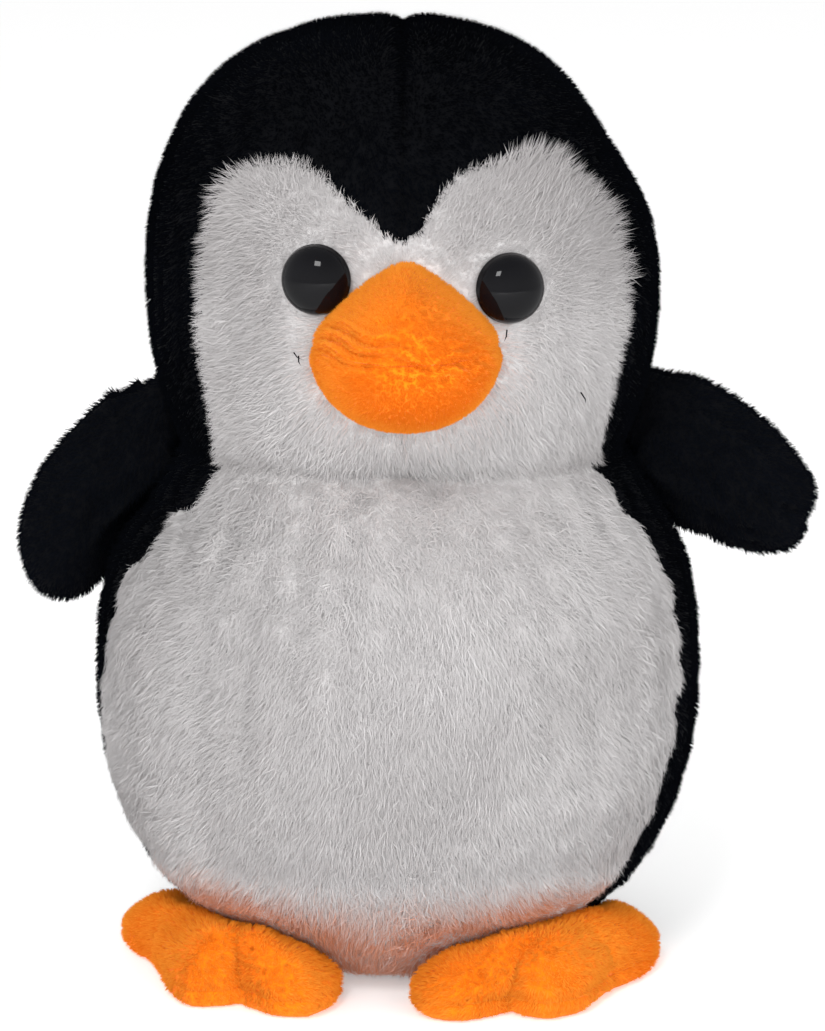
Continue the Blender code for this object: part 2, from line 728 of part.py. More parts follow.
def make_beak(pivot):
    """An upper and a lower panel that meet at a level seam, filled, on the face."""
    around_head = cutter(
        solid_blob("around_head_cutter", head_radius(-GAP), HEAD_CENTRE, EGG_SEGMENTS, EGG_RINGS)
    )
    seam = BEAK_CENTRE.z
    halves = {
        "beak_upper": (seam + GAP / 2, FAR),
        "beak_lower": (-FAR, seam - GAP / 2),
    }
    for name, (low, high) in halves.items():
        panel = hollow_blob(
            name, beak_radius(0), beak_radius(BEAK_WALL), BEAK_CENTRE, BEAK_SEGMENTS, BEAK_RINGS
        )
        half = box_cutter(f"{name}_cutter", (-FAR, -FAR, low), (FAR, FAR, high))
        cut(panel, half, "INTERSECT")
        cut(panel, around_head, "DIFFERENCE")
        piece(panel, ORANGE_PLUSH, pivot)
    filling = solid_blob(
        "beak_stuffing", beak_radius(BEAK_WALL + GAP + BEAK_FILLING_SLACK), BEAK_CENTRE,
        BEAK_FILLING_SEGMENTS, BEAK_FILLING_RINGS,
    )
    cut(filling, around_head, "DIFFERENCE")
    piece(filling, WHITE_FIBRE, pivot)


def flipper_rise(_x, _z, share):
    """Half the flipper's thickness this share of the way from its middle to its edge."""
    return FLIPPER_HALF_THICKNESS * math.sqrt(1 - share**FLIPPER_PROFILE)


def make_flipper(side, outline, middle, pivot):
    """A front and a back panel over filling, flat where the toy's side seam holds them."""

    def place_front(x, z, height):
        return Vector((x, FLIPPER_DEPTH - GAP / 2 - height, z))

    def place_back(x, z, height):
        return Vector((x, FLIPPER_DEPTH + GAP / 2 + height, z))

    front = cup(f"flipper_{side}_front", outline, middle, flipper_rise, WALL, place_front)
    piece(front, BLACK_PLUSH, pivot)
    back = cup(f"flipper_{side}_back", outline, middle, flipper_rise, WALL, place_back)
    piece(back, BLACK_PLUSH, pivot)
    inset = WALL + 2 * GAP
    filling = pillow(
        f"flipper_{side}_stuffing", outline, middle, flipper_rise, flipper_rise, inset,
        place_front, place_back,
    )
    piece(filling, WHITE_FIBRE, pivot)


def make_foot(side, outline, middle, heel, pivot):
    """A three-toed pad with a flat sole, tucked under the torso at its heel."""
    heel_line = (heel[1] - heel[0]).xy.normalized()
    ahead_way = Vector((heel_line.y, -heel_line.x))
    if ahead_way.y > 0:
        ahead_way = -ahead_way

    def top_rise(x, y, share):
        ahead = max((Vector((x, y)) - heel[0].xy).dot(ahead_way), 0)
        room = torso_underside(x, y) - ahead * math.tan(FOOT_LIFT) - FOOT_HEADROOM
        height = FOOT_HEIGHT + (FOOT_SEAM_HEIGHT - FOOT_HEIGHT) * share**FOOT_PROFILE
        return max(min(height, room) - FOOT_SEAM_HEIGHT, LEAST_RISE)

    def sole_rise(_x, _y, share):
        rounding = max(share - SOLE_FLAT_SHARE, 0) / (1 - SOLE_FLAT_SHARE)
        return FOOT_SEAM_HEIGHT * math.sqrt(1 - rounding**2)

    def place_top(x, y, height):
        return Vector((x, y, FOOT_SEAM_HEIGHT + GAP / 2 + height))

    def place_sole(x, y, height):
        return Vector((x, y, FOOT_SEAM_HEIGHT - height))

    top = cup(f"foot_{side}_top", outline, middle, top_rise, FOOT_WALL, place_top)
    piece(top, ORANGE_PLUSH, pivot)
    sole = cup(f"foot_{side}_sole", outline, middle, sole_rise, FOOT_WALL, place_sole)
    piece(sole, ORANGE_PLUSH, pivot)
    inset = FOOT_WALL + 2 * FILLING_SLACK
    filling = pillow(
        f"foot_{side}_stuffing", outline, middle, top_rise, sole_rise, inset,
        place_top, place_sole,
    )
    piece(filling, WHITE_FIBRE, pivot)


def mirrored(point):
    """The same place on the torso's other side."""
    return Vector((2 * TORSO_CENTRE.x - point.x, point.y, point.z))


clear_scene()
make_torso()
make_head(pivot_empty("neck_pivot", NECK_PIVOT))
seam_middle = (SEAM_TOP + SEAM_FOOT) / 2
make_flipper(
    "left", FLIPPER_LEFT_OUTLINE, FLIPPER_LEFT_MIDDLE,
    pivot_empty("flipper_left_pivot", seam_middle),
)
make_flipper(
    "right", FLIPPER_RIGHT_OUTLINE, FLIPPER_RIGHT_MIDDLE,
    pivot_empty("flipper_right_pivot", mirrored(seam_middle)),
)
for side, outline, middle, heel in (
    ("left", FOOT_LEFT_OUTLINE, FOOT_LEFT_MIDDLE, FOOT_LEFT_HEEL),
    ("right", FOOT_RIGHT_OUTLINE, FOOT_RIGHT_MIDDLE, FOOT_RIGHT_HEEL),
):
    pivot = pivot_empty(f"foot_{side}_pivot", (heel[0] + heel[1]) / 2)
    make_foot(side, outline, middle, heel, pivot)
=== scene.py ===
import json
import math

import bmesh
import bpy
import numpy as np
from mathutils import Matrix, Vector
from mathutils.bvhtree import BVHTree
from mathutils.kdtree import KDTree

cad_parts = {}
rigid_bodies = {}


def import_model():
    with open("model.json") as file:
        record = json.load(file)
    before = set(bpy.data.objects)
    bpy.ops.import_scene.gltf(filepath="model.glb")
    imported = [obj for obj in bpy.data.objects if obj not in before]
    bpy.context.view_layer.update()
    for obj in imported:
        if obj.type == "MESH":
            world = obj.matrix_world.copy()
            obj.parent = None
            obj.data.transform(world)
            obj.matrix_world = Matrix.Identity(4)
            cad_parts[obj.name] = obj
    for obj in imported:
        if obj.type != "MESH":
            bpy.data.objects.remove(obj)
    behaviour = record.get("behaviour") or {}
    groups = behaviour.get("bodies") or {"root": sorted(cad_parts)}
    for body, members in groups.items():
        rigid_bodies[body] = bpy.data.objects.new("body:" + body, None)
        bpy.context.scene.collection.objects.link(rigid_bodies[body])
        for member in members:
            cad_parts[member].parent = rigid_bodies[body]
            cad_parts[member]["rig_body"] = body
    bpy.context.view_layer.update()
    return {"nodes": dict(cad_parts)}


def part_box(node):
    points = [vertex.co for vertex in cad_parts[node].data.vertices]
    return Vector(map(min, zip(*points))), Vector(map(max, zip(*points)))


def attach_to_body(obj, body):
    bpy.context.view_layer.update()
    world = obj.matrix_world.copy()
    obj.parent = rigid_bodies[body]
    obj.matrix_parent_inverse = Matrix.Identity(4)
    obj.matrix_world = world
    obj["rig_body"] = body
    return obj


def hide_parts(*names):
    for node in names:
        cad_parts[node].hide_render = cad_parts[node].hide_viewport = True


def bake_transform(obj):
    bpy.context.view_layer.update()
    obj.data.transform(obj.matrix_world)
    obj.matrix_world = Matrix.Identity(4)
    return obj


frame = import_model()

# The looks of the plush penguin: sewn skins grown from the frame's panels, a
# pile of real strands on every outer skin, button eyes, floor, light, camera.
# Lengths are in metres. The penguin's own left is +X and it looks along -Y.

UP = np.array((0.0, 0.0, 1.0))
DRIFT_WAVES = 6
DRIFT_PACE = 2.2
DRIFT_SPREAD = 2.45

# Which panels make up each skin, what solids fill it, and how it is grown: the size
# of its voxels, the rounds of smoothing, how far it starts inside the panels (less
# than 0 is outside), how far it may swell, and how tight its filling is.
SKINS = {
    "body": {
        "panels": {
            "belly_panel": "belly", "back_panel_left": "back", "back_panel_right": "back",
            "base_panel": "base", "face_panel_left": "face", "face_panel_right": "face",
            "head_panel_left": "crown", "head_panel_right": "crown",
        },
        "fillings": ["body_stuffing", "head_stuffing"],
        "voxel": 0.0026, "smooth": 5, "start": -0.0002, "swell": 0.0010, "fill": 0.85,
    },
    "beak": {
        "panels": {"beak_upper": "beak_top", "beak_lower": "beak_foot"},
        "fillings": ["beak_stuffing"],
        "voxel": 0.0013, "smooth": 5, "start": -0.0005, "swell": 0.0008, "fill": 0.8,
    },
}
PAIRED_SKINS = {
    "flipper": {
        "panels": {"front": "flipper", "back": "flipper"},
        "voxel": 0.0014, "smooth": 5, "start": -0.0022, "swell": 0.0014, "fill": 0.6,
    },
    "foot": {
        "panels": {"top": "foot", "sole": "sole"},
        "voxel": 0.0014, "smooth": 4, "start": -0.0018, "swell": 0.0016, "fill": 0.7,
    },
}
for limb, plan in PAIRED_SKINS.items():
    for side in ("left", "right"):
        name = f"{limb}_{side}"
        panels = {f"{name}_{panel}": sort for panel, sort in plan["panels"].items()}
        SKINS[name] = {**plan, "panels": panels, "fillings": [name + "_stuffing"]}

CLOTH_THICKNESS = 0.0012
CLOTH_FRAMES = 20
CLOTH_PRESSURE = 4.0
CLOTH_STIFFNESS = 20
TYPICAL_PERCENTILE = 90
BORDER_VOTES = 3
FLOOR_CLEARANCE = 0.0003

# How deep each sort of panel is drawn in along its seams, and the shallower seam at
# the throat.
SEAM_WIDTH = 0.0018
SEAM_DEPTH = {
    "belly": 0.0008, "face": 0.0005, "crown": 0.0005, "back": 0.0010, "base": 0.0006,
    "beak_top": 0.0009, "beak_foot": 0.0009, "flipper": 0.0010, "foot": 0.0010, "sole": 0.0008,
}
NECK_SEAM = 0.142
THROAT_FRONT = 0.02
THROAT_HEIGHT = 0.006
THROAT_EASE = 0.7

# How the root of a flipper is drawn in to the body: firmly below the top, loosely at it.
ROOT_LENGTH = 0.017
ROOT_EASE = 0.008
ROOT_EASY_LENGTH = 0.014
ROOT_TOP = 0.145
ROOT_REACH = 0.020
ROOT_GAP = 0.0004
ROOT_DROP = 0.15
FILLING_COVER = 0.0012
FILLING_REACH = 0.006

# The shape of the crown: where it starts, how much fuller it is, how that tilts from
# side to side, its centre seam, and the slope of its left shoulder.
CROWN_FOOT = 0.222
CROWN_RISE = 0.028
CROWN_FULLNESS = 0.0022
CROWN_TILT = 0.012
CROWN_SEAM_WIDTH = 0.0028
CROWN_SEAM_DEPTH = 0.0016
SLOPE_REACH = 0.05
SLOPE_LEVEL = 0.224
SLOPE_WIDTH = 0.016
SLOPE_DEPTH = 0.0026

# The folds across the beak's front, and the dents in the feet.
FOLD_SLOPE = -0.17
FOLD_WANDER = 2.4
FOLD_FRONT = 0.066
FOLD_EASE = 0.010
FOLD_LEVEL = 0.0012
FOLD_WIDTH = 0.0055
FINE_FOLD = 0.00027
BROAD_FOLD = 0.00065
FOLD_DEPTH = 0.0009
DENT_WAVE = 0.020
DENT_DEPTH = 0.0005

# The pile of each sort of panel: how many strands a square millimetre, the share
# that is bent guard hair, how long and wide they are, how far they lean (0 is
# upright, 1 is flat), and how they clump.
PILES = {
    "belly": {"density": 3.90, "bent": 0.12, "length": 0.0062, "width": 0.00026, "lean": 0.64,
              "clump": 0.22, "clump_size": 36},
    "face": {"density": 5.00, "bent": 0.18, "length": 0.0058, "width": 0.00024, "lean": 0.64,
             "clump": 0.22, "clump_size": 36},
    "crown": {"density": 2.70, "bent": 0.0, "length": 0.0028, "width": 0.00036, "lean": 0.42,
              "clump": 0.14, "clump_size": 12},
    "back": {"density": 2.10, "bent": 0.0, "length": 0.0028, "width": 0.00038, "lean": 0.42,
             "clump": 0.14, "clump_size": 12},
    "base": {"density": 1.00, "bent": 0.0, "length": 0.0012, "width": 0.00050, "lean": 0.95,
             "clump": 0.20, "clump_size": 10},
    "flipper": {"density": 2.50, "bent": 0.0, "length": 0.0028, "width": 0.00040, "lean": 0.44,
                "clump": 0.16, "clump_size": 12},
    "beak_top": {"density": 11.0, "bent": 0.0, "length": 0.0017, "width": 0.00028, "lean": 0.42,
                 "clump": 0.45, "clump_size": 16},
    "foot": {"density": 6.50, "bent": 0.0, "length": 0.0023, "width": 0.00036, "lean": 0.36,
             "clump": 0.45, "clump_size": 16},
    "sole": {"density": 4.50, "bent": 0.0, "length": 0.0023, "width": 0.00036, "lean": 0.45,
             "clump": 0.45, "clump_size": 16},
}
PILES["beak_foot"] = PILES["beak_top"]

# Each sort's material slot, and how much lighter or darker than plain its strands are.
SLOTS = {
    "belly": "white_plush", "face": "white_plush", "crown": "black_plush", "back": "black_plush",
    "base": "black_plush", "flipper": "black_plush", "beak_top": "orange_plush",
    "beak_foot": "orange_plush", "foot": "orange_plush", "sole": "orange_plush",
}
TINT_SHIFT = {
    "crown": -0.15, "back": -0.15, "base": -0.15, "flipper": 0.35, "beak_top": -0.08, "beak_foot": -0.08,
}
MAX_STRAND_FACES = 190000

# The form of a strand: the shares of its width at its root and its bend, how far up
# its bend is, how rounded its shading is, and how velvet shades towards the light.
ROOT_RADIUS = 0.5
BEND_RADIUS = 0.42
BEND_HEIGHT = 0.55
STEEP = 0.8
STRAND_ROUNDNESS = 0.28
VELVET_LEAN = {"beak_top": 0.50, "beak_foot": 0.50, "foot": 0.75, "sole": 0.75}
VELVET_LIGHT = (0.0, -0.90, 0.44)
STRAND_DEPTH = 0.0004

# How the pile is combed.
SWIRL_WAVE = 0.020
SWIRL = 0.36
FRIZZ = 0.42
BELLY_SPREAD = 9
BELLY_SPREAD_REACH = 0.010
FACE_FLATTENING = (1, 0.2, 1)
FACE_AWAY = 0.8
FACE_DOWN = 0.45
SPILL_REACH = 0.008
SPILL_LEAST = 0.1
SPILL_AT_TUFTS = 1.1
FLIPPER_DOWN = 0.8
FOOT_FLATTENING = (1, 1, 0.2)
FOOT_SWIRL = 0.8
FOOT_DOWN = 0.2
BEAK_FLATTENING = (1, 0.1, 0.8)
BEAK_SWIRL = 1.2
BLACK_SWIRL = 0.7

# How long the strands are: their spread, the tufts at the face's two lobes, the chin
# that hangs over the throat, and the shorter pile at edges, soles and folds.
LENGTH_SPREAD = (0.78, 1.12)
TUFT_WAVE = 0.012
TUFT_LENGTH = 0.10
TUFT_LEAN = 0.16
EDGE_REACH = 0.006
LOBE_SIDE = 0.018
LOBE_SIDE_EASE = 0.016
LOBE_LEVEL = 0.165
LOBE_LEVEL_EASE = 0.040
RIGHT_LOBE_SHARE = 0.45
LOBE_TUFT = 0.75
FACE_CROP = 0.45
CHIN_HEIGHT = 0.008
CHIN_HALF_WIDTH = 0.034
CHIN_FALL = 0.60
BELLY_CROP = 0.35
FOLD_CROP = 0.55
SOLE_LEAST = 0.35

# How the strands are shaded: 0 is deep, 0.5 plain, and 1 the orange of painted bounce light from beside;
# some marks below paint shade, highlight and bounce light.
TINT_MIDDLE = 0.30
TINT_WAVE = 0.03
TINT_DRIFT = 0.10
TINT_SPREAD = 0.09
# Painted shade along the throat seam, where the fold between head and belly lies in shade: how strong it
# is, and how far up and down it reaches.
NECK_PAINTED_SHADE = 0.28
NECK_PAINTED_SHADE_HEIGHT = 0.0035
# Painted shade over the top of the face, which holds down the lobes that take the light from above: how
# strong it is, where it starts and how far it rises.
BROW_PAINTED_SHADE = 0.34
BROW_FOOT = 0.182
BROW_RISE = 0.016
# Painted bounce light: the orange that the beak throws onto the face's strands beside it, and how far it
# reaches.
BEAK_PAINTED_BOUNCE = 0.34
BEAK_PAINTED_BOUNCE_REACH = 0.0045
# Painted bounce light: the orange that the feet throw onto the low belly, by height and by nearness to
# the feet, and its most.
FEET_PAINTED_BOUNCE_TOP = 0.040
FEET_PAINTED_BOUNCE_REACH = 0.013
FEET_PAINTED_BOUNCE_LOW = 0.65
FEET_PAINTED_BOUNCE_BESIDE = 1.05
FEET_PAINTED_BOUNCE_MOST = 0.69
# Painted shade in the folds across the beak.
FOLD_PAINTED_SHADE = 0.40
# Painted shade on the beak below its middle: where it starts, how far it eases in, and how strong it is.
LOWER_BEAK_TOP = 0.009
LOWER_BEAK_EASE = 0.012
LOWER_BEAK_PAINTED_SHADE = 0.14
# Painted highlight on the beak's rim, where it turns away from the front.
BEAK_PAINTED_RIM_LIGHT = 0.30

# How the strands lean and clump.
EDGE_FLATNESS = 0.35
EDGE_FLATNESS_REACH = 0.010
LEAN_SPREAD = 0.10
START_ANGLE = 0.9
END_ANGLE = 1.9
FLATTEST = 1.52
MIDDLE_PULL = 0.35
WIDTH_SPREAD = (0.75, 1.2)
CLEAR_GAP = 0.0012
SHORTEST = 0.55
COMB_REACH = 1.6

# The button eyes: how far each sits from its CAD place, and its turned profile.
EYE_SHIFT = {"left": (0.0, 0.0007, 0.0), "right": (0.0012, 0.0005, 0.0002)}
EYE_AXIS_ROUNDS = 3
EYE_RIM_SHARE = 0.97
STEM_LENGTH_SEEN = 0.001
STEM_TIP_SHARE = 0.7
STEM_RIBS = 5
STEM_TIP_BEVEL = 0.0004
STEM_TOP = -0.0016
RIB_HEIGHT = 0.0006
GROOVE_HEIGHT = 0.0009
GROOVE_SHARE = 0.86
COLLAR_LEVEL = -0.0011
EYE_RIM = [(0.90, -0.0009), (0.975, -0.0006), (1.0, -0.0001), (1.0, 0.0003), (0.985, 0.0007)]
DOME_SHARE = 0.975
DOME_FOOT = 0.0007
DOME_STEPS = 22
EYE_SIDES = 96

# The stray ends of thread on the face: where each starts, and how far it goes.
STRAY_THREADS = [
    (0.0252, 0.1818, (-0.0008, -0.001, -0.0030)),
    (-0.0250, 0.1757, (0.0006, -0.001, -0.0024)),
    (-0.0262, 0.1765, (0.0022, -0.001, -0.0016)),
    (0.0430, 0.1645, (0.0012, -0.001, -0.0028)),
]
THREAD_WIDTH = 0.00045
THREAD_HEIGHT = 0.004
THREAD_ARCH = 0.0009


# ---------------------------------------------------------------- mesh helpers

def unit(vectors):
    """The same vectors, each one long."""
    return vectors / np.maximum(np.linalg.norm(vectors, axis=1, keepdims=True), 1e-9)


def bell(distance, width):
    """1 at no distance, falling off smoothly over about the width."""
    return np.exp(-(distance / width) ** 2)


def fading(distance, reach):
    """1 at no distance, fading out over the reach."""
    return np.exp(-distance / reach)


def drift(points, wave, seed):
    """A smooth random vector at each point, which changes over about one wave."""
    rng = np.random.default_rng(seed)
    total = np.zeros_like(points)
    for _ in range(DRIFT_WAVES):
        stretch = rng.normal(size=(3, 3)) * DRIFT_PACE / wave
        total += np.sin(points @ stretch + rng.uniform(0, 2 * math.pi, 3))
    return total / DRIFT_SPREAD


def vertex_places(mesh):
    """The vertices of a mesh as an array."""
    places = np.zeros(len(mesh.vertices) * 3)
    mesh.vertices.foreach_get("co", places)
    return places.reshape(-1, 3)


def mesh_from_arrays(name, vertices, faces):
    """A smooth-shaded mesh object from equal-sided faces."""
    mesh = bpy.data.meshes.new(name)
    sides = faces.shape[1]
    mesh.vertices.add(len(vertices))
    mesh.vertices.foreach_set("co", vertices.astype(np.float32).ravel())
    mesh.loops.add(faces.size)
    mesh.loops.foreach_set("vertex_index", faces.astype(np.int32).ravel())
    mesh.polygons.add(len(faces))
    mesh.polygons.foreach_set("loop_start", np.arange(0, faces.size, sides, dtype=np.int32))
    mesh.polygons.foreach_set("use_smooth", np.ones(len(faces), dtype=bool))
    mesh.update(calc_edges=True)
    obj = bpy.data.objects.new(name, mesh)
    bpy.context.scene.collection.objects.link(obj)
    return obj


def vertex_normals(vertices, quads):
    """Area-weighted normals of a quad mesh."""
    corner = vertices[quads]
    facing = np.cross(corner[:, 2] - corner[:, 0], corner[:, 3] - corner[:, 1])
    normals = np.zeros_like(vertices)
    for side in range(4):
        np.add.at(normals, quads[:, side], facing)
    return unit(normals)


def apply_modifiers(obj):
    """The object's mesh becomes what its modifiers make of it."""
    depsgraph = bpy.context.evaluated_depsgraph_get()
    mesh = bpy.data.meshes.new_from_object(obj.evaluated_get(depsgraph))
    obj.modifiers.clear()
    obj.data = mesh


def keep_largest_part(obj):
    """Drops the pockets that are left inside a remeshed solid."""
    work = bmesh.new()
    work.from_mesh(obj.data)
    seen = set()
    parts = []
    for start in work.verts:
        if start in seen:
            continue
        part = []
        front = [start]
        seen.add(start)
        while front:
            vertex = front.pop()
            part.append(vertex)
            for edge in vertex.link_edges:
                other = edge.other_vert(vertex)
                if other not in seen:
                    seen.add(other)
                    front.append(other)
        parts.append(part)
    parts.sort(key=len)
    for part in parts[:-1]:
        bmesh.ops.delete(work, geom=part, context="VERTS")
    work.to_mesh(obj.data)
    work.free()


def nearest_tree(points):
    """A search tree over these points."""
    tree = KDTree(len(points))
    for index, point in enumerate(points):
        tree.insert(point, index)
    tree.balance()
    return tree


def nearest(points, tree):
    """How far each point is from the tree's nearest one, and which one that is."""
    found = [tree.find(point) for point in points]
    return np.array([f[2] for f in found]), np.array([f[1] for f in found], dtype=int)


# ----------------------------------------------------------------------- skins

def panel_finder(panels):
    """A function that says which of the frame's panels each point lies on."""
    vertices = []
    faces = []
    owner = []
    for index, panel in enumerate(panels):
        mesh = frame["nodes"][panel].data
        first = len(vertices)
        vertices.extend(v.co.copy() for v in mesh.vertices)
        for polygon in mesh.polygons:
            faces.append([first + i for i in polygon.vertices])
            owner.append(index)
    tree = BVHTree.FromPolygons(vertices, faces)
    owner = np.array(owner)
    return lambda points: owner[[tree.find_nearest(Vector(p))[2] for p in points]]


def face_owners(vertices, quads, find):
    """The panel of each face, with the borders smoothed by a vote among neighbours."""
    owner = find(vertices[quads].mean(axis=1))
    kinds = owner.max() + 1
    for _ in range(BORDER_VOTES):
        votes = np.zeros((len(vertices), kinds))
        for side in range(4):
            np.add.at(votes, (quads[:, side], owner), 1)
        owner = votes[quads].sum(axis=1).argmax(axis=1)
    return owner


def border_vertices(count, quads, owner):
    """The vertices where faces of different owners meet."""
    low = np.full(count, owner.max() + 1)
    high = np.full(count, -1)
    for side in range(4):
        np.minimum.at(low, quads[:, side], owner)
        np.maximum.at(high, quads[:, side], owner)
    return np.nonzero(high > low)[0]


def quads_of(obj):
    """The faces of an all-quad mesh as an array."""
    corners = np.zeros(len(obj.data.loops), dtype=np.int32)
    obj.data.loops.foreach_get("vertex_index", corners)
    return corners.reshape(-1, 4)


def swollen(obj, pins, largest):
    """Lets air pressure swell the cloth between its pinned seams, by no more than the largest move."""
    before = vertex_places(obj.data)
    group = obj.vertex_groups.new(name="seams")
    group.add([int(i) for i in pins], 1.0, "REPLACE")
    cloth = obj.modifiers.new("Cloth", "CLOTH")
    cloth.settings.quality = 4
    cloth.settings.mass = 0.3
    cloth.settings.tension_stiffness = CLOTH_STIFFNESS
    cloth.settings.compression_stiffness = CLOTH_STIFFNESS
    cloth.settings.bending_stiffness = 1.0
    cloth.settings.use_pressure = True
    cloth.settings.uniform_pressure_force = CLOTH_PRESSURE
    cloth.settings.vertex_group_mass = "seams"
    cloth.settings.effector_weights.gravity = 0.0
    cloth.collision_settings.use_collision = False
    cloth.point_cache.frame_start = 1
    cloth.point_cache.frame_end = CLOTH_FRAMES
    for step in range(1, CLOTH_FRAMES + 1):
        bpy.context.scene.frame_set(step)
    apply_modifiers(obj)
    bpy.context.scene.frame_set(1)
    move = vertex_places(obj.data) - before
    travel = np.linalg.norm(move, axis=1, keepdims=True)
    typical = np.percentile(travel, TYPICAL_PERCENTILE) + 1e-9
    after = before + move / (travel + 1e-9) * np.tanh(travel / typical) * largest
    obj.data.vertices.foreach_set("co", after.ravel())
    obj.vertex_groups.clear()
    obj.data.update()


class Skin:
    """One closed cloth surface, split among the frame's panels that it stands for."""

    def __init__(self, name, plan):
        self.name = name
        self.fill = plan["fill"]
        self.panels = list(plan["panels"])
        self.sorts = [plan["panels"][p] for p in self.panels]
        find = panel_finder(self.panels)
        obj = self.grown(plan)
        quads = quads_of(obj)
        places = vertex_places(obj.data)
        owner = face_owners(places, quads, find)
        swollen(obj, border_vertices(len(places), quads, owner), plan["swell"])
        finer = obj.modifiers.new("Finer", "SUBSURF")
        finer.levels = 1
        apply_modifiers(obj)
        self.vertices = vertex_places(obj.data)
        self.quads = quads_of(obj)
        bpy.data.objects.remove(obj)
        self.owner = face_owners(self.vertices, self.quads, find)
        self.measure()

    def grown(self, plan):
        """The smooth outside of the panels and their filling, drawn in by a little."""
        work = bmesh.new()
        for node in self.panels + plan["fillings"]:
            work.from_mesh(frame["nodes"][node].data)
        bmesh.ops.remove_doubles(work, verts=work.verts, dist=1e-6)
        mesh = bpy.data.meshes.new(self.name)
        work.to_mesh(mesh)
        work.free()
        obj = bpy.data.objects.new(self.name + "_skin", mesh)
        bpy.context.scene.collection.objects.link(obj)
        remesh = obj.modifiers.new("Remesh", "REMESH")
        remesh.mode = "VOXEL"
        remesh.voxel_size = plan["voxel"]
        apply_modifiers(obj)
        keep_largest_part(obj)
        smooth = obj.modifiers.new("Smooth", "SMOOTH")
        smooth.factor = 0.5
        smooth.iterations = plan["smooth"]
        apply_modifiers(obj)
        places = vertex_places(obj.data)
        places -= vertex_normals(places, quads_of(obj)) * plan["start"]
        obj.data.vertices.foreach_set("co", places.ravel())
        obj.data.update()
        return obj

    def measure(self):
        """How far each vertex is from a seam and from its own colour's edge, and which way that lies."""
        self.normals = vertex_normals(self.vertices, self.quads)
        count = len(self.vertices)
        seams = self.vertices[border_vertices(count, self.quads, self.owner)]
        self.seam_gap, _ = nearest(self.vertices, nearest_tree(seams))
        sorts = sorted(set(self.sorts))
        sort_of = np.array([sorts.index(s) for s in self.sorts])[self.owner]
        edge = self.vertices[border_vertices(count, self.quads, sort_of)]
        if len(edge) == 0:
            edge = seams
        self.edge_gap, which = nearest(self.vertices, nearest_tree(edge))
        self.to_edge = unit(edge[which] - self.vertices)

    def move(self, outward):
        """Moves each vertex along its normal."""
        self.vertices = self.vertices + self.normals * outward[:, None]
        self.vertices[:, 2] = np.maximum(self.vertices[:, 2], FLOOR_CLEARANCE)
        self.normals = vertex_normals(self.vertices, self.quads)

    def sew(self):
        """Draws the cloth in along every seam."""
        depth = np.zeros(len(self.vertices))
        for index, sort in enumerate(self.sorts):
            depth[self.quads[self.owner == index].ravel()] = SEAM_DEPTH[sort]
        if self.name == "body":
            throat = np.clip(-self.vertices[:, 1] / THROAT_FRONT, 0, 1)
            throat *= bell(self.vertices[:, 2] - NECK_SEAM, THROAT_HEIGHT)
            depth *= 1 - THROAT_EASE * throat
        self.move(-depth * bell(self.seam_gap, SEAM_WIDTH))


class Patch:
    """The part of a skin that belongs to one panel."""

    def __init__(self, skin, panel):
        index = skin.panels.index(panel)
        quads = skin.quads[skin.owner == index]
        used, flat = np.unique(quads.ravel(), return_inverse=True)
        self.panel = panel
        self.sort = skin.sorts[index]
        self.fill = skin.fill
        self.quads = flat.reshape(-1, 4)
        self.vertices = skin.vertices[used]
        self.normals = skin.normals[used]
        self.edge_gap = skin.edge_gap[used]
        self.to_edge = skin.to_edge[used]

    def cloth(self):
        """The panel as a closed piece of cloth."""
        count = len(self.vertices)
        inner = self.vertices - self.normals * CLOTH_THICKNESS
        following = np.roll(self.quads, -1, axis=1)
        edges = np.stack([self.quads.ravel(), following.ravel()], axis=1)
        keys = np.sort(edges, axis=1)
        _, which, times = np.unique(keys, axis=0, return_inverse=True, return_counts=True)
        rim = edges[times[which.ravel()] == 1]
        walls = np.stack([rim[:, 1], rim[:, 0], rim[:, 0] + count, rim[:, 1] + count], axis=1)
        faces = np.concatenate([self.quads, self.quads[:, ::-1] + count, walls])
        return mesh_from_arrays(self.panel + "_cloth", np.concatenate([self.vertices, inner]), faces)

    def area(self):
        """The patch's area in square millimetres."""
        corner = self.vertices[self.quads]
        crossed = np.cross(corner[:, 2] - corner[:, 0], corner[:, 3] - corner[:, 1])
        return np.linalg.norm(crossed, axis=1).sum() / 2 * 1e6

    def scattered(self, count, rng):
        """Random places on the patch, and what is known about each."""
        triangles = np.concatenate([self.quads[:, [0, 1, 2]], self.quads[:, [0, 2, 3]]])
        corner = self.vertices[triangles]
        crossed = np.cross(corner[:, 1] - corner[:, 0], corner[:, 2] - corner[:, 0])
        reach = np.cumsum(np.linalg.norm(crossed, axis=1))
        picked = triangles[np.searchsorted(reach, rng.uniform(0, reach[-1], count))]
        first = np.sqrt(rng.uniform(size=count))
        second = rng.uniform(size=count)
        share = np.stack([1 - first, first * (1 - second), first * second], axis=1)

        def mixed(values):
            return np.einsum("ij,ij...->i...", share, values[picked])

        return {
            "root": mixed(self.vertices),
            "normal": unit(mixed(self.normals)),
            "edge_gap": mixed(self.edge_gap),
            "to_edge": unit(mixed(self.to_edge)),
        }


# ------------------------------------------------------------------------ pile

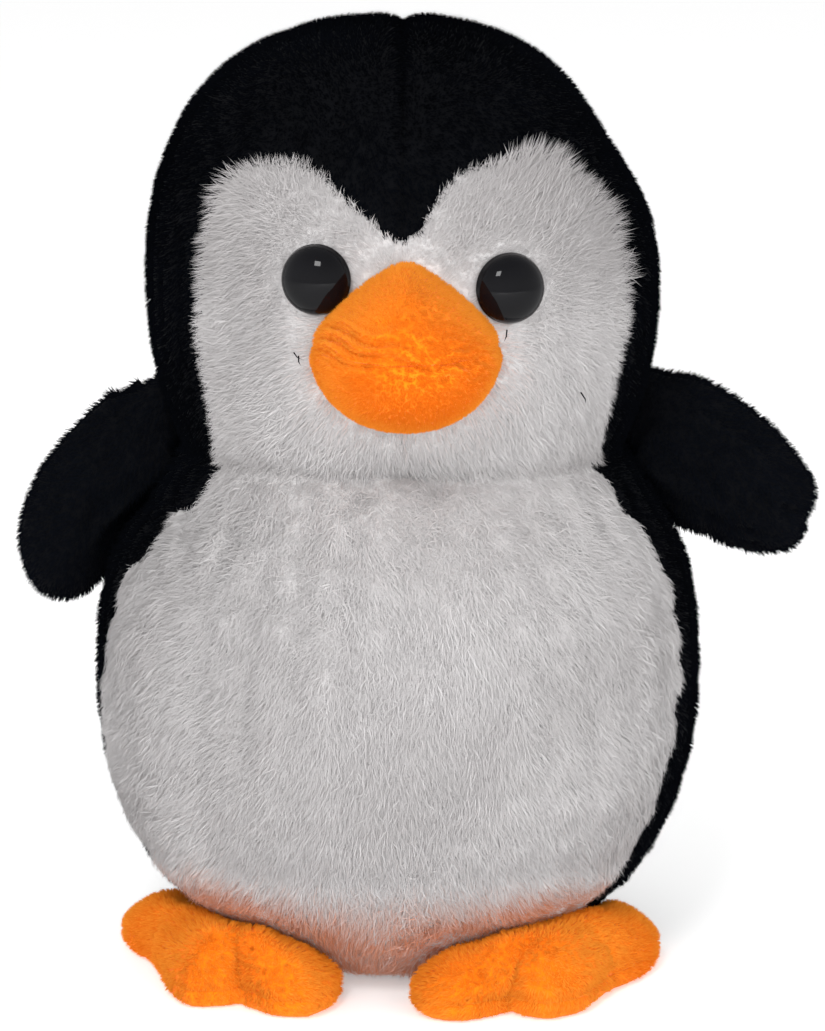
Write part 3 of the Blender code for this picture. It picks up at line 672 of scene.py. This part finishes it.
def combed(sort, place, centre, rng):
    """The way that the pile lies at each place."""
    root = place["root"]
    swirl = drift(root, SWIRL_WAVE, 11) * SWIRL + rng.normal(size=root.shape) * FRIZZ
    if sort == "belly":
        sideways = root * (BELLY_SPREAD, 0, 0)
        return -UP + sideways * (1 - fading(place["edge_gap"], BELLY_SPREAD_REACH))[:, None] + swirl
    if sort == "face":
        away = unit((root - centre) * FACE_FLATTENING)
        spill = fading(place["edge_gap"], SPILL_REACH) * (SPILL_LEAST + SPILL_AT_TUFTS * tufted(root))
        return away * FACE_AWAY - UP * FACE_DOWN + swirl + place["to_edge"] * spill[:, None]
    if sort == "flipper":
        return np.sign(root) * (1, 0, 0) - UP * FLIPPER_DOWN + swirl
    if sort in ("foot", "sole"):
        return unit((root - centre) * FOOT_FLATTENING) + swirl * FOOT_SWIRL - UP * FOOT_DOWN
    if sort in ("beak_top", "beak_foot"):
        return unit(root - centre) * BEAK_FLATTENING + swirl * BEAK_SWIRL
    return -UP + swirl * BLACK_SWIRL


def beak_folds(root, middle, spacing):
    """How deep the broken folds across the beak's front are at each place, at most 1."""
    wander = drift(root, 0.012, 3)
    level = root[:, 2] - middle[2] - FOLD_SLOPE * (root[:, 0] - middle[0])
    folds = np.sin(level / spacing + wander[:, 0] * FOLD_WANDER)
    broken = np.clip(0.90 + 0.4 * wander[:, 1], 0, 1)
    front = np.clip((-root[:, 1] - FOLD_FRONT) / FOLD_EASE, 0, 1)
    return folds * broken * front * bell(level - FOLD_LEVEL, FOLD_WIDTH)


def tufted(root):
    """How far the face's fur stands out over the black: most at the outer corners of its two lobes."""
    outer = np.clip((np.abs(root[:, 0]) - LOBE_SIDE) / LOBE_SIDE_EASE, 0, 1)
    upper = np.clip((root[:, 2] - LOBE_LEVEL) / LOBE_LEVEL_EASE, 0, 1)
    return outer * upper * np.where(root[:, 0] > 0, 1.0, RIGHT_LOBE_SHARE)


def strand_mesh(name, root, middle, tip, normal, width, tint, bent):
    """Closed tapering strands: each a three-sided spike, with a ring at its bend if it is bent.

    They are shaded mostly along the cloth's own normal, as soft massed fibres look.
    """
    count = len(root)
    along = unit(tip - root)
    helper = np.where(np.abs(along[:, 2:3]) < STEEP, UP, np.array((1.0, 0.0, 0.0)))
    side = unit(np.cross(along, helper))
    other = np.cross(along, side)
    rings = []
    facings = []
    heights = []
    levels = [(root, ROOT_RADIUS, 0.0)]
    if bent:
        levels.append((middle, BEND_RADIUS, BEND_HEIGHT))
    for centre, share, height in levels:
        for corner in range(3):
            turn = 2 * math.pi * corner / 3
            offset = side * math.cos(turn) + other * math.sin(turn)
            rings.append(centre + offset * (width * share)[:, None])
            facings.append(unit(normal + offset * STRAND_ROUNDNESS))
            heights.append(height)
    rings.append(tip)
    facings.append(unit(normal + along * STRAND_ROUNDNESS))
    heights.append(1.0)
    size = len(rings)
    vertices = np.stack(rings, axis=1).reshape(-1, 3)
    if bent:
        pattern = [(0, 2, 1), (0, 1, 4), (0, 4, 3), (1, 2, 5), (1, 5, 4), (2, 0, 3), (2, 3, 5),
                   (3, 4, 6), (4, 5, 6), (5, 3, 6)]
    else:
        pattern = [(0, 2, 1), (0, 1, 3), (1, 2, 3), (2, 0, 3)]
    faces = (np.array(pattern)[None] + (np.arange(count) * size)[:, None, None]).reshape(-1, 3)
    obj = mesh_from_arrays(name, vertices, faces)
    obj.data.normals_split_custom_set_from_vertices(np.stack(facings, axis=1).reshape(-1, 3))
    layer = obj.data.uv_layers.new(name="OFBake")
    corner_tint = np.repeat(tint, size)[faces.ravel()]
    corner_height = np.tile(heights, count)[faces.ravel()]
    layout = np.stack([corner_tint, corner_height], axis=1).astype(np.float32)
    layer.data.foreach_set("uv", layout.ravel())
    return obj


def strand_lengths(patch, place, centre, room, tuft, rng):
    """How long each strand is."""
    root = place["root"]
    spread = rng.uniform(*LENGTH_SPREAD, len(root))
    length = PILES[patch.sort]["length"] * room * spread * (1 + TUFT_LENGTH * tuft)
    at_edge = fading(place["edge_gap"], EDGE_REACH)
    if patch.sort == "face":
        lobes = LOBE_TUFT * tufted(root) * (0.5 + np.abs(tuft))
        chin = bell(root[:, 2] - NECK_SEAM, CHIN_HEIGHT) * bell(root[:, 0], CHIN_HALF_WIDTH)
        length *= 1 + at_edge * (lobes - FACE_CROP + CHIN_FALL * chin)
    if patch.sort == "belly":
        length *= 1 - BELLY_CROP * at_edge
    if patch.sort == "sole":
        length *= np.clip(1.3 + 1.2 * place["normal"][:, 2], SOLE_LEAST, 1)
    if patch.sort.startswith("beak"):
        length *= 1 - FOLD_CROP * np.clip(beak_folds(root, centre, FINE_FOLD), 0, 1)
    return length


def strand_tints(patch, place, centre, orange, rng):
    """The shade of each strand: a random tone shifted for its sort, painted shade at the throat, brow,
    beak folds and lower beak, a painted highlight on the beak's rim, and painted bounce light from the
    orange beside it.
    """
    root = place["root"]
    level = root[:, 2]
    tint = TINT_MIDDLE + TINT_DRIFT * drift(root, TINT_WAVE, 77)[:, 0]
    tint = np.clip(tint + rng.normal(size=len(root)) * TINT_SPREAD, 0.01, 0.5)
    tint += TINT_SHIFT.get(patch.sort, 0.0)
    if patch.sort in ("belly", "face"):
        # painted shade along the throat seam
        tint -= NECK_PAINTED_SHADE * bell(level - NECK_SEAM, NECK_PAINTED_SHADE_HEIGHT)
    if patch.sort == "face":
        # painted shade over the brow and lobes
        tint -= BROW_PAINTED_SHADE * np.clip((level - BROW_FOOT) / BROW_RISE, 0, 1)
        # painted bounce light from the beak
        tint += BEAK_PAINTED_BOUNCE * fading(nearest(root, orange)[0], BEAK_PAINTED_BOUNCE_REACH)
    if patch.sort == "belly":
        # painted bounce light from the feet, on the low belly
        low = np.clip((FEET_PAINTED_BOUNCE_TOP - level) / FEET_PAINTED_BOUNCE_TOP, 0, 1)
        beside = fading(nearest(root, orange)[0], FEET_PAINTED_BOUNCE_REACH)
        tint += np.clip(FEET_PAINTED_BOUNCE_LOW * low + FEET_PAINTED_BOUNCE_BESIDE * beside * low ** 0.3, 0, FEET_PAINTED_BOUNCE_MOST)
    if patch.sort.startswith("beak"):
        # painted shade in the beak's folds
        fold = beak_folds(root, centre, FINE_FOLD)
        # painted shade on the beak's lower part
        lower = np.clip((centre[2] + LOWER_BEAK_TOP - level) / LOWER_BEAK_EASE, 0, 1)
        tint -= FOLD_PAINTED_SHADE * np.clip(fold + 0.15, 0, 1) + LOWER_BEAK_PAINTED_SHADE * lower
        # painted highlight on the beak's rim
        tint += BEAK_PAINTED_RIM_LIGHT * (1 - np.clip(-place["normal"][:, 1], 0, 1)) ** 2
    return np.clip(tint, 0.01, 0.99)


def grow_pile(patch, centre, obstacles, orange, seed):
    """The strands of one panel, kept short beside the things that sit in the pile."""
    plan = PILES[patch.sort]
    rng = np.random.default_rng(seed)
    count = int(patch.area() * plan["density"])
    place = patch.scattered(count, rng)
    comb = combed(patch.sort, place, centre, rng)
    room = np.full(count, 1.0)
    for points, tree, reach, push in obstacles:
        gap, which = nearest(place["root"], tree)
        room = np.minimum(room, (gap - CLEAR_GAP) / reach)
        near = np.clip(1 - gap / (reach * COMB_REACH), 0, 1)
        comb += unit(place["root"] - points[which]) * (near * push)[:, None]
    keep = room > 0
    place = {key: value[keep] for key, value in place.items()}
    comb = comb[keep]
    room = np.clip(room[keep], SHORTEST, 1)
    count = int(keep.sum())
    normal = place["normal"]
    shaded_along = unit(normal + np.array(VELVET_LIGHT) * VELVET_LEAN.get(patch.sort, 0.0))
    comb = unit(comb - normal * (comb * normal).sum(axis=1, keepdims=True))
    tuft = drift(place["root"], TUFT_WAVE, seed + 5)[:, 0]
    length = strand_lengths(patch, place, centre, room, tuft, rng)
    tint = strand_tints(patch, place, centre, orange, rng)
    lean = plan["lean"] + TUFT_LEAN * tuft + rng.normal(size=count) * LEAN_SPREAD
    if patch.sort == "belly":
        lean += EDGE_FLATNESS * fading(place["edge_gap"], EDGE_FLATNESS_REACH)
    lean = np.clip(lean, 0.05, 1.05)
    start_angle = lean * START_ANGLE
    end_angle = np.minimum(lean * END_ANGLE, FLATTEST)
    first = normal * np.cos(start_angle)[:, None] + comb * np.sin(start_angle)[:, None]
    last = normal * np.cos(end_angle)[:, None] + comb * np.sin(end_angle)[:, None]
    root = place["root"] - normal * STRAND_DEPTH
    middle = root + first * (length * 0.5)[:, None]
    tip = middle + last * (length * 0.5)[:, None]
    leaders = rng.choice(count, max(count // plan["clump_size"], 1), replace=False)
    _, which = nearest(root, nearest_tree(root[leaders]))
    leader = leaders[which]
    pull = (plan["clump"] * rng.uniform(0.5, 1.0, count))[:, None]
    tip = tip + (tip[leader] - tip) * pull
    middle = middle + (middle[leader] - middle) * pull * MIDDLE_PULL
    floor = FLOOR_CLEARANCE + plan["width"] / 2
    for row in (root, middle, tip):
        row[:, 2] = np.maximum(row[:, 2], floor)
    width = plan["width"] * rng.uniform(*WIDTH_SPREAD, count)
    bent = rng.uniform(size=count) < plan["bent"]
    made = []
    for label, chosen, faces_each in (("_pile", ~bent, 4), ("_guard_hair", bent, 10)):
        rows = np.nonzero(chosen)[0]
        pieces = -(-len(rows) * faces_each // MAX_STRAND_FACES)
        for number in range(pieces):
            part = rows[number::pieces]
            name = patch.panel + label + (f"_{number + 1}" if pieces > 1 else "")
            made.append(strand_mesh(name, root[part], middle[part], tip[part], shaded_along[part],
                                    width[part], tint[part], chosen is bent))
    return made


# ------------------------------------------------------------------- materials

class Finish:
    """A material under construction."""

    def __init__(self, name):
        self.material = bpy.data.materials.new(name)
        self.material.use_nodes = True
        self.nodes = self.material.node_tree.nodes
        self.links = self.material.node_tree.links
        self.shader = self.nodes["Principled BSDF"]

    def set(self, **values):
        """Sets inputs of the shader, with _ for each space in their names."""
        for key, value in values.items():
            self.shader.inputs[key.replace("_", " ")].default_value = value
        return self

    def node(self, kind, **values):
        """A new node with these inputs or settings."""
        made = self.nodes.new(kind)
        for key, value in values.items():
            if key in made.inputs:
                made.inputs[key].default_value = value
            else:
                setattr(made, key, value)
        return made

    def link(self, source, target):
        """Joins an output to an input."""
        self.links.new(source, target)

    def ramp(self, source, stops):
        """A colour that follows a value through these stops."""
        made = self.nodes.new("ShaderNodeValToRGB")
        while len(made.color_ramp.elements) < len(stops):
            made.color_ramp.elements.new(0.5)
        for element, (position, colour) in zip(made.color_ramp.elements, stops):
            element.position = position
            element.color = (*colour, 1)
        self.link(source, made.inputs["Fac"])
        return made.outputs["Color"]

    def bump(self, height, strength, distance):
        """Relief on the shader from a height."""
        made = self.node("ShaderNodeBump", Strength=strength, Distance=distance)
        self.link(height, made.inputs["Height"])
        self.link(made.outputs["Normal"], self.shader.inputs["Normal"])


def shaded(colour, share):
    """The colour made darker or lighter."""
    return tuple(min(c * share, 1.0) for c in colour)


def cloth_finish(name, colour, sheen):
    """The knitted backing that shows between the strands: mottled, with a fine fibre relief."""
    finish = Finish(name).set(Roughness=0.95, Specular_IOR_Level=0.1)
    finish.set(Sheen_Weight=sheen, Sheen_Roughness=0.5)
    place = finish.node("ShaderNodeTexCoord")
    mottle = finish.node("ShaderNodeTexNoise", Scale=120.0, Detail=4.0)
    fibre = finish.node("ShaderNodeTexNoise", Scale=1400.0, Detail=3.0)
    for texture in (mottle, fibre):
        finish.link(place.outputs["Object"], texture.inputs["Vector"])
    stops = [(0.30, shaded(colour, 0.72)), (0.70, shaded(colour, 1.1))]
    finish.link(finish.ramp(mottle.outputs["Fac"], stops), finish.shader.inputs["Base Color"])
    finish.bump(fibre.outputs["Fac"], 0.6, 0.0006)
    return finish.material


def pile_finish(name, root, tip, deep, sheen, painted_bounce=(1.0, 1.0, 1.0), roughness=0.8, specular=0.05):
    """Strands that go from root to tip in colour, as painted shade and light along the pile, each with
    its own shade between deep and a painted bounce-light colour.
    """
    finish = Finish(name).set(Roughness=roughness, Sheen_Weight=sheen, Sheen_Roughness=0.4)
    finish.set(Specular_IOR_Level=specular, Sheen_Tint=(*shaded(tip, 1.3), 1))
    layout = finish.node("ShaderNodeUVMap", uv_map="OFBake")
    split = finish.node("ShaderNodeSeparateXYZ")
    finish.link(layout.outputs["UV"], split.inputs["Vector"])
    middle = tuple((a + 2 * b) / 3 for a, b in zip(root, tip))
    # the root-to-tip colour is painted shade and light along the pile
    along = finish.ramp(split.outputs["Y"], [(0.0, root), (0.45, middle), (1.0, tip)])
    # the shade's top end is a painted bounce-light colour
    shades = [(0.0, deep), (0.5, (1.0, 1.0, 1.0)), (1.0, painted_bounce)]
    shade = finish.ramp(split.outputs["X"], shades)
    mix = finish.node("ShaderNodeMix", data_type="RGBA", blend_type="MULTIPLY")
    mix.inputs[0].default_value = 1.0
    finish.link(along, mix.inputs[6])
    finish.link(shade, mix.inputs[7])
    finish.link(mix.outputs[2], finish.shader.inputs["Base Color"])
    return finish.material


def plastic_finish(name, colour, roughness, specular):
    """Moulded plastic with a faint flow mottle."""
    finish = Finish(name).set(Roughness=roughness, Specular_IOR_Level=specular)
    place = finish.node("ShaderNodeTexCoord")
    flow = finish.node("ShaderNodeTexNoise", Scale=90.0, Detail=2.0)
    finish.link(place.outputs["Object"], flow.inputs["Vector"])
    stops = [(0.35, shaded(colour, 0.8)), (0.65, shaded(colour, 1.15))]
    finish.link(finish.ramp(flow.outputs["Fac"], stops), finish.shader.inputs["Base Color"])
    return finish.material


def fibre_finish(name, colour):
    """Loose polyester filling: matted fibres."""
    finish = Finish(name).set(Roughness=1.0, Sheen_Weight=0.3, Specular_IOR_Level=0.1)
    place = finish.node("ShaderNodeTexCoord")
    wad = finish.node("ShaderNodeTexNoise", Scale=260.0, Detail=6.0, Distortion=1.5)
    finish.link(place.outputs["Object"], wad.inputs["Vector"])
    stops = [(0.3, shaded(colour, 0.75)), (0.7, colour)]
    finish.link(finish.ramp(wad.outputs["Fac"], stops), finish.shader.inputs["Base Color"])
    finish.bump(wad.outputs["Fac"], 0.8, 0.0012)
    return finish.material


def weave_finish(name, colour):
    """Plain woven bag cloth."""
    finish = Finish(name).set(Roughness=0.9, Specular_IOR_Level=0.2)
    place = finish.node("ShaderNodeTexCoord")
    warp = finish.node("ShaderNodeTexWave", Scale=520.0, bands_direction="X")
    weft = finish.node("ShaderNodeTexWave", Scale=520.0, bands_direction="Y")
    for texture in (warp, weft):
        finish.link(place.outputs["Object"], texture.inputs["Vector"])
    both = finish.node("ShaderNodeMath", operation="MAXIMUM")
    finish.link(warp.outputs["Fac"], both.inputs[0])
    finish.link(weft.outputs["Fac"], both.inputs[1])
    stops = [(0.2, shaded(colour, 0.6)), (0.9, colour)]
    finish.link(finish.ramp(both.outputs["Value"], stops), finish.shader.inputs["Base Color"])
    finish.bump(both.outputs["Value"], 0.4, 0.0004)
    return finish.material


CLOTHS = {
    "white_plush": cloth_finish("white_backing", (0.56, 0.545, 0.545), 0.05),
    "black_plush": cloth_finish("black_backing", (0.0018, 0.0021, 0.0030), 0.0),
    "orange_plush": cloth_finish("orange_backing", (1.0, 0.22, 0.006), 0.1),
}
# The root-to-tip colours are painted shade and light: the black and orange roots are painted darker than
# their lighter tips, as shade deep in the pile, and the white roots a little lighter than their tips, to
# lift the shade among the strands. The white's last colour is painted bounce light from the feet.
PILE_FINISHES = {
    "white_plush": pile_finish(
        "white_pile", (0.610, 0.591, 0.590), (0.580, 0.564, 0.565), (0.72, 0.71, 0.71), 0.05,
        painted_bounce=(1.0, 0.36, 0.17)),
    "black_plush": pile_finish(
        "black_pile", (0.0017, 0.0021, 0.0031), (0.0038, 0.0047, 0.0070), (0.40, 0.40, 0.40), 0.0,
        roughness=1.0, specular=0.008),
    "orange_plush": pile_finish(
        "orange_pile", (0.92, 0.178, 0.005), (0.92, 0.335, 0.037), (0.82, 0.46, 0.18), 0.55),
}
FILLING = fibre_finish("filling_fibre", (0.85, 0.85, 0.83))
PELLET_CLOTH = weave_finish("pellet_weave", (0.70, 0.68, 0.62))
EYE_PLASTIC = plastic_finish("eye_plastic", (0.003, 0.003, 0.004), 0.05, 0.16)
WASHER_PLASTIC = plastic_finish("washer_plastic", (0.80, 0.80, 0.78), 0.45, 0.5)


def paint(obj, material):
    """The object shows only this material."""
    obj.data.materials.clear()
    obj.data.materials.append(material)


# -------------------------------------------------------------- build the toy

def attach(obj, panel):
    """The piece moves with its panel's body, except the pieces of the flippers, and of the torso and head
    other than the beak's and eyes', which stay where they are with no body.
    """
    body = frame["nodes"][panel]["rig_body"]
    if body.startswith("flipper"):
        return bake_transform(obj)
    if body in ("torso", "head") and not panel.startswith(("beak", "eye")):
        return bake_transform(obj)
    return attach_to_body(obj, body)


def middle_of(*nodes):
    """The centre of the box round these nodes."""
    lows, highs = zip(*(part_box(node) for node in nodes))
    low = np.min([tuple(v) for v in lows], axis=0)
    high = np.max([tuple(v) for v in highs], axis=0)
    return (low + high) / 2


skins = {name: Skin(name, plan) for name, plan in SKINS.items()}


def shape_crown(skin):
    """The crown stands full, dips where its two halves are sewn together, and slopes to the left."""
    x, z = skin.vertices[:, 0], skin.vertices[:, 2]
    height = np.clip((z - CROWN_FOOT) / CROWN_RISE, 0, 1)
    notch = height * bell(x, CROWN_SEAM_WIDTH)
    slope = np.clip(x / SLOPE_REACH, 0, 1) * bell(z - SLOPE_LEVEL, SLOPE_WIDTH)
    skin.move(height * (CROWN_FULLNESS - CROWN_TILT * x) - CROWN_SEAM_DEPTH * notch - SLOPE_DEPTH * slope)


def beak_creases(skin):
    """Folds that run along the beak's front seam, strongest close to it."""
    skin.move(-FOLD_DEPTH * beak_folds(skin.vertices, middle_of("beak_upper", "beak_lower"), BROAD_FOLD))


def foot_dimples(skin):
    """Soft dents in the plush of a foot."""
    high = np.clip(skin.normals[:, 2], 0, 1)
    skin.move(high * drift(skin.vertices, DENT_WAVE, 9)[:, 0] * DENT_DEPTH)


def surface_tree(skin):
    """A search tree over a skin's faces."""
    return BVHTree.FromPolygons(skin.vertices.tolist(), skin.quads.tolist())


def keep_filling_covered(skin):
    """Lifts the cloth off the skin's own filling wherever it has sunk in."""
    filling = frame["nodes"][skin.name + "_stuffing"].data
    faces = [list(polygon.vertices) for polygon in filling.polygons]
    tree = BVHTree.FromPolygons(vertex_places(filling).tolist(), faces)
    for index, (row, outward) in enumerate(zip(skin.vertices, skin.normals)):
        hit, facing, _, _ = tree.ray_cast(Vector(row), Vector(outward), FILLING_REACH)
        if hit is not None and facing.dot(outward) > 0:
            skin.vertices[index] = np.array(hit) + outward * FILLING_COVER


def sew_on(flipper, side, body_tree):
    """Draws a flipper's root in until its cloth meets the cloth of the shoulder."""
    inward = Vector((-side, 0, -ROOT_DROP)).normalized()
    reach = flipper.vertices[:, 0] * side
    root = reach.min()
    firm = np.clip((root + ROOT_LENGTH - reach) / ROOT_EASE, 0, 1)
    loose = np.clip((root + ROOT_EASY_LENGTH - reach) / ROOT_EASY_LENGTH, 0, 1)
    low = np.clip((ROOT_TOP - flipper.vertices[:, 2]) / ROOT_EASE, 0, 1)
    share = loose + (firm - loose) * low
    for index in np.nonzero(share > 0)[0]:
        place = Vector(flipper.vertices[index])
        hit, _, _, distance = body_tree.ray_cast(place, inward, ROOT_REACH)
        if hit is not None:
            flipper.vertices[index] += np.array(inward) * max(distance - ROOT_GAP, 0) * share[index]
    flipper.normals = vertex_normals(flipper.vertices, flipper.quads)
    keep_filling_covered(flipper)
    flipper.normals = vertex_normals(flipper.vertices, flipper.quads)


for skin in skins.values():
    skin.sew()
body_tree = surface_tree(skins["body"])
sew_on(skins["flipper_left"], 1, body_tree)
sew_on(skins["flipper_right"], -1, body_tree)
shape_crown(skins["body"])
beak_creases(skins["beak"])
foot_dimples(skins["foot_left"])
foot_dimples(skins["foot_right"])


def obstacle(points, reach, push=3.0):
    """Something that the pile stays clear of, over a reach, and is combed away from."""
    return points, nearest_tree(points), reach, push


def node_points(*nodes):
    """All vertices of these nodes."""
    return np.concatenate([vertex_places(frame["nodes"][node].data) for node in nodes])


eyes = obstacle(node_points("eye_left", "eye_right"), 0.0026, push=-0.5)
beak = obstacle(skins["beak"].vertices, 0.0075)
feet = obstacle(np.concatenate([skins["foot_left"].vertices, skins["foot_right"].vertices]), 0.0060)
flipper_skins = [skins["flipper_left"].vertices, skins["flipper_right"].vertices]
flippers = obstacle(np.concatenate(flipper_skins), 0.0030)
OBSTACLES = {
    "face": [eyes, beak], "belly": [feet], "back": [feet, flippers], "base": [feet], "crown": [flippers],
}
ORANGE_BESIDE = {"face": beak[1], "belly": feet[1]}
CENTRES = dict.fromkeys(("face", "beak_top", "beak_foot"), middle_of("beak_upper", "beak_lower"))

seed = 100
for skin in skins.values():
    for panel in skin.panels:
        seed += 10
        patch = Patch(skin, panel)
        slot = SLOTS[patch.sort]
        cloth = patch.cloth()
        paint(cloth, CLOTHS[slot])
        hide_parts(panel)
        attach(cloth, panel)
        centre = CENTRES.get(patch.sort, skin.vertices.mean(axis=0))
        obstacles = OBSTACLES.get(patch.sort, [])
        for pile in grow_pile(patch, centre, obstacles, ORANGE_BESIDE.get(patch.sort), seed):
            paint(pile, PILE_FINISHES[slot])
            attach(pile, panel)


def lathed(name, profile, steps):
    """A closed turned piece about +Z from (radius, height) pairs that start and end on the axis."""
    rings = profile[1:-1]
    turns = np.arange(steps) * 2 * math.pi / steps
    vertices = [(0, 0, profile[0][1])]
    for radius, height in rings:
        vertices.extend((radius * math.cos(t), radius * math.sin(t), height) for t in turns)
    vertices.append((0, 0, profile[-1][1]))
    faces = []
    for step in range(steps):
        following = (step + 1) % steps
        faces.append((0, 1 + following, 1 + step))
        for ring in range(len(rings) - 1):
            low = 1 + ring * steps
            faces.append((low + step, low + following, low + steps + following, low + steps + step))
        low = 1 + (len(rings) - 1) * steps
        faces.append((low + step, low + following, len(vertices) - 1))
    mesh = bpy.data.meshes.new(name)
    mesh.from_pydata(vertices, [], faces)
    mesh.polygons.foreach_set("use_smooth", [True] * len(faces))
    mesh.update()
    obj = bpy.data.objects.new(name, mesh)
    bpy.context.scene.collection.objects.link(obj)
    return obj


def make_eye(side):
    """A domed safety eye with a rolled rim and a ribbed stem, on the frame eye's own axis."""
    points = node_points("eye_" + side)
    washer = middle_of("eye_washer_" + side)
    rim_middle = points.mean(axis=0)
    for _ in range(EYE_AXIS_ROUNDS):
        axis = (rim_middle - washer) / np.linalg.norm(rim_middle - washer)
        height = (points - washer) @ axis
        reach = np.linalg.norm(points - washer - height[:, None] * axis, axis=1)
        rim_middle = points[reach > reach.max() * EYE_RIM_SHARE].mean(axis=0)
    height = (points - rim_middle) @ axis
    reach = np.linalg.norm(points - rim_middle - height[:, None] * axis, axis=1)
    radius = reach.max()
    dome = height.max()
    foot = height.min()
    stem = reach[height < foot + STEM_LENGTH_SEEN].max()
    profile = [(0, foot), (stem * STEM_TIP_SHARE, foot)]
    for rib in range(STEM_RIBS):
        level = foot + STEM_TIP_BEVEL + (STEM_TOP - foot) * rib / STEM_RIBS
        profile.extend([(stem, level), (stem, level + RIB_HEIGHT)])
        profile.append((stem * GROOVE_SHARE, level + GROOVE_HEIGHT))
    profile.append((stem, COLLAR_LEVEL))
    profile.extend((radius * share, level) for share, level in EYE_RIM)
    for step in range(1, DOME_STEPS):
        angle = math.pi / 2 * step / DOME_STEPS
        level = DOME_FOOT + (dome - DOME_FOOT) * math.sin(angle)
        profile.append((radius * DOME_SHARE * math.cos(angle), level))
    profile.append((0, dome))
    eye = lathed("eye_button_" + side, profile, EYE_SIDES)
    turn = Vector(axis).to_track_quat("Z", "Y").to_matrix().to_4x4()
    eye.data.transform(Matrix.Translation(Vector(rim_middle) + Vector(EYE_SHIFT[side])) @ turn)
    paint(eye, EYE_PLASTIC)
    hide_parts("eye_" + side)
    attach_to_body(eye, "head")


def make_threads(face_tree):
    """A few stray ends of black thread that lie on the face."""
    rows = []
    for x, z, reach in STRAY_THREADS:
        place, normal, _, _ = face_tree.ray_cast(Vector((x, -0.2, z)), Vector((0, 1, 0)))
        rows.append((place + normal * THREAD_HEIGHT, normal, Vector(reach)))
    root, normal, reach = (np.array(column) for column in zip(*rows))
    middle = root + reach * 0.5 + normal * THREAD_ARCH
    tip = root + reach
    width = np.full(len(rows), THREAD_WIDTH)
    tint = np.full(len(rows), TINT_MIDDLE)
    threads = strand_mesh("stray_threads", root, middle, tip, normal, width, tint, True)
    paint(threads, PILE_FINISHES["black_plush"])
    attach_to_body(threads, "head")


make_eye("left")
make_eye("right")
make_threads(body_tree)

for node, obj in frame["nodes"].items():
    if node.endswith("stuffing"):
        paint(obj, FILLING)
    elif node == "pellet_bag":
        paint(obj, PELLET_CLOTH)
    elif node.startswith("eye_washer"):
        paint(obj, WASHER_PLASTIC)


# --------------------------------------------------------- floor, light, camera

def make_floor():
    """A wide, pale studio floor."""
    bpy.ops.mesh.primitive_plane_add(size=14, location=(0, 3, 0))
    floor = bpy.context.object
    floor.name = "floor"
    finish = Finish("floor_paper").set(Roughness=0.9, Specular_IOR_Level=0.1)
    finish.set(Base_Color=(0.97, 0.97, 0.97, 1), Emission_Color=(1, 1, 1, 1), Emission_Strength=0.30)
    paint(floor, finish.material)


def area_light(name, place, aim, size, power, mirrored=False):
    """A soft square lamp that shines at a point, and shows in gloss only if it is mirrored."""
    lamp = bpy.data.lights.new(name, "AREA")
    lamp.shape = "SQUARE"
    lamp.size = size
    lamp.energy = power
    obj = bpy.data.objects.new(name, lamp)
    bpy.context.scene.collection.objects.link(obj)
    obj.location = place
    obj.rotation_mode = "QUATERNION"
    obj.rotation_quaternion = (Vector(aim) - Vector(place)).to_track_quat("-Z", "Y")
    obj.visible_glossy = mirrored


def make_world(strength, zenith):
    """White light from all round, weaker from overhead."""
    world = bpy.data.worlds.new("studio")
    world.use_nodes = True
    nodes = world.node_tree.nodes
    links = world.node_tree.links
    place = nodes.new("ShaderNodeTexCoord")
    split = nodes.new("ShaderNodeSeparateXYZ")
    fade = nodes.new("ShaderNodeMapRange")
    fade.inputs["From Min"].default_value = 0.15
    fade.inputs["From Max"].default_value = 0.85
    fade.inputs["To Min"].default_value = strength
    fade.inputs["To Max"].default_value = zenith
    links.new(place.outputs["Generated"], split.inputs["Vector"])
    links.new(split.outputs["Z"], fade.inputs["Value"])
    links.new(fade.outputs["Result"], nodes["Background"].inputs["Strength"])
    nodes["Background"].inputs["Color"].default_value = (1.0, 1.0, 1.0, 1)
    bpy.context.scene.world = world


def make_camera():
    """The viewing angle of the photograph: level with the toy's chest and a little above."""
    aim = Vector((0.0025, 0.0, 0.120))
    distance = 1.05
    elevation = math.radians(13)
    camera = bpy.data.cameras.new("camera")
    camera.lens = 136
    camera.sensor_width = 36
    camera.clip_start = 0.01
    obj = bpy.data.objects.new("camera", camera)
    bpy.context.scene.collection.objects.link(obj)
    back = Vector((0, -math.cos(elevation), math.sin(elevation)))
    obj.location = aim + back * distance
    obj.rotation_mode = "QUATERNION"
    obj.rotation_quaternion = (-back).to_track_quat("-Z", "Y")
    bpy.context.scene.camera = obj


make_floor()
make_world(0.98, 0.55)
area_light("key", (-0.7, -1.6, 0.8), (0, 0, 0.12), 1.0, 8)
area_light("fill", (1.0, -1.5, 0.5), (0, 0, 0.12), 1.2, 12)
area_light("top", (0, 0.3, 1.9), (0, 0, 0.10), 1.4, 2)
area_light("catch", (-0.28, -1.1, 1.15), (0, -0.06, 0.19), 0.34, 7, mirrored=True)
area_light("low", (0.1, -1.6, 0.22), (0, 0, 0.03), 0.6, 6)
make_camera()
bpy.context.scene.view_settings.view_transform = "Standard"
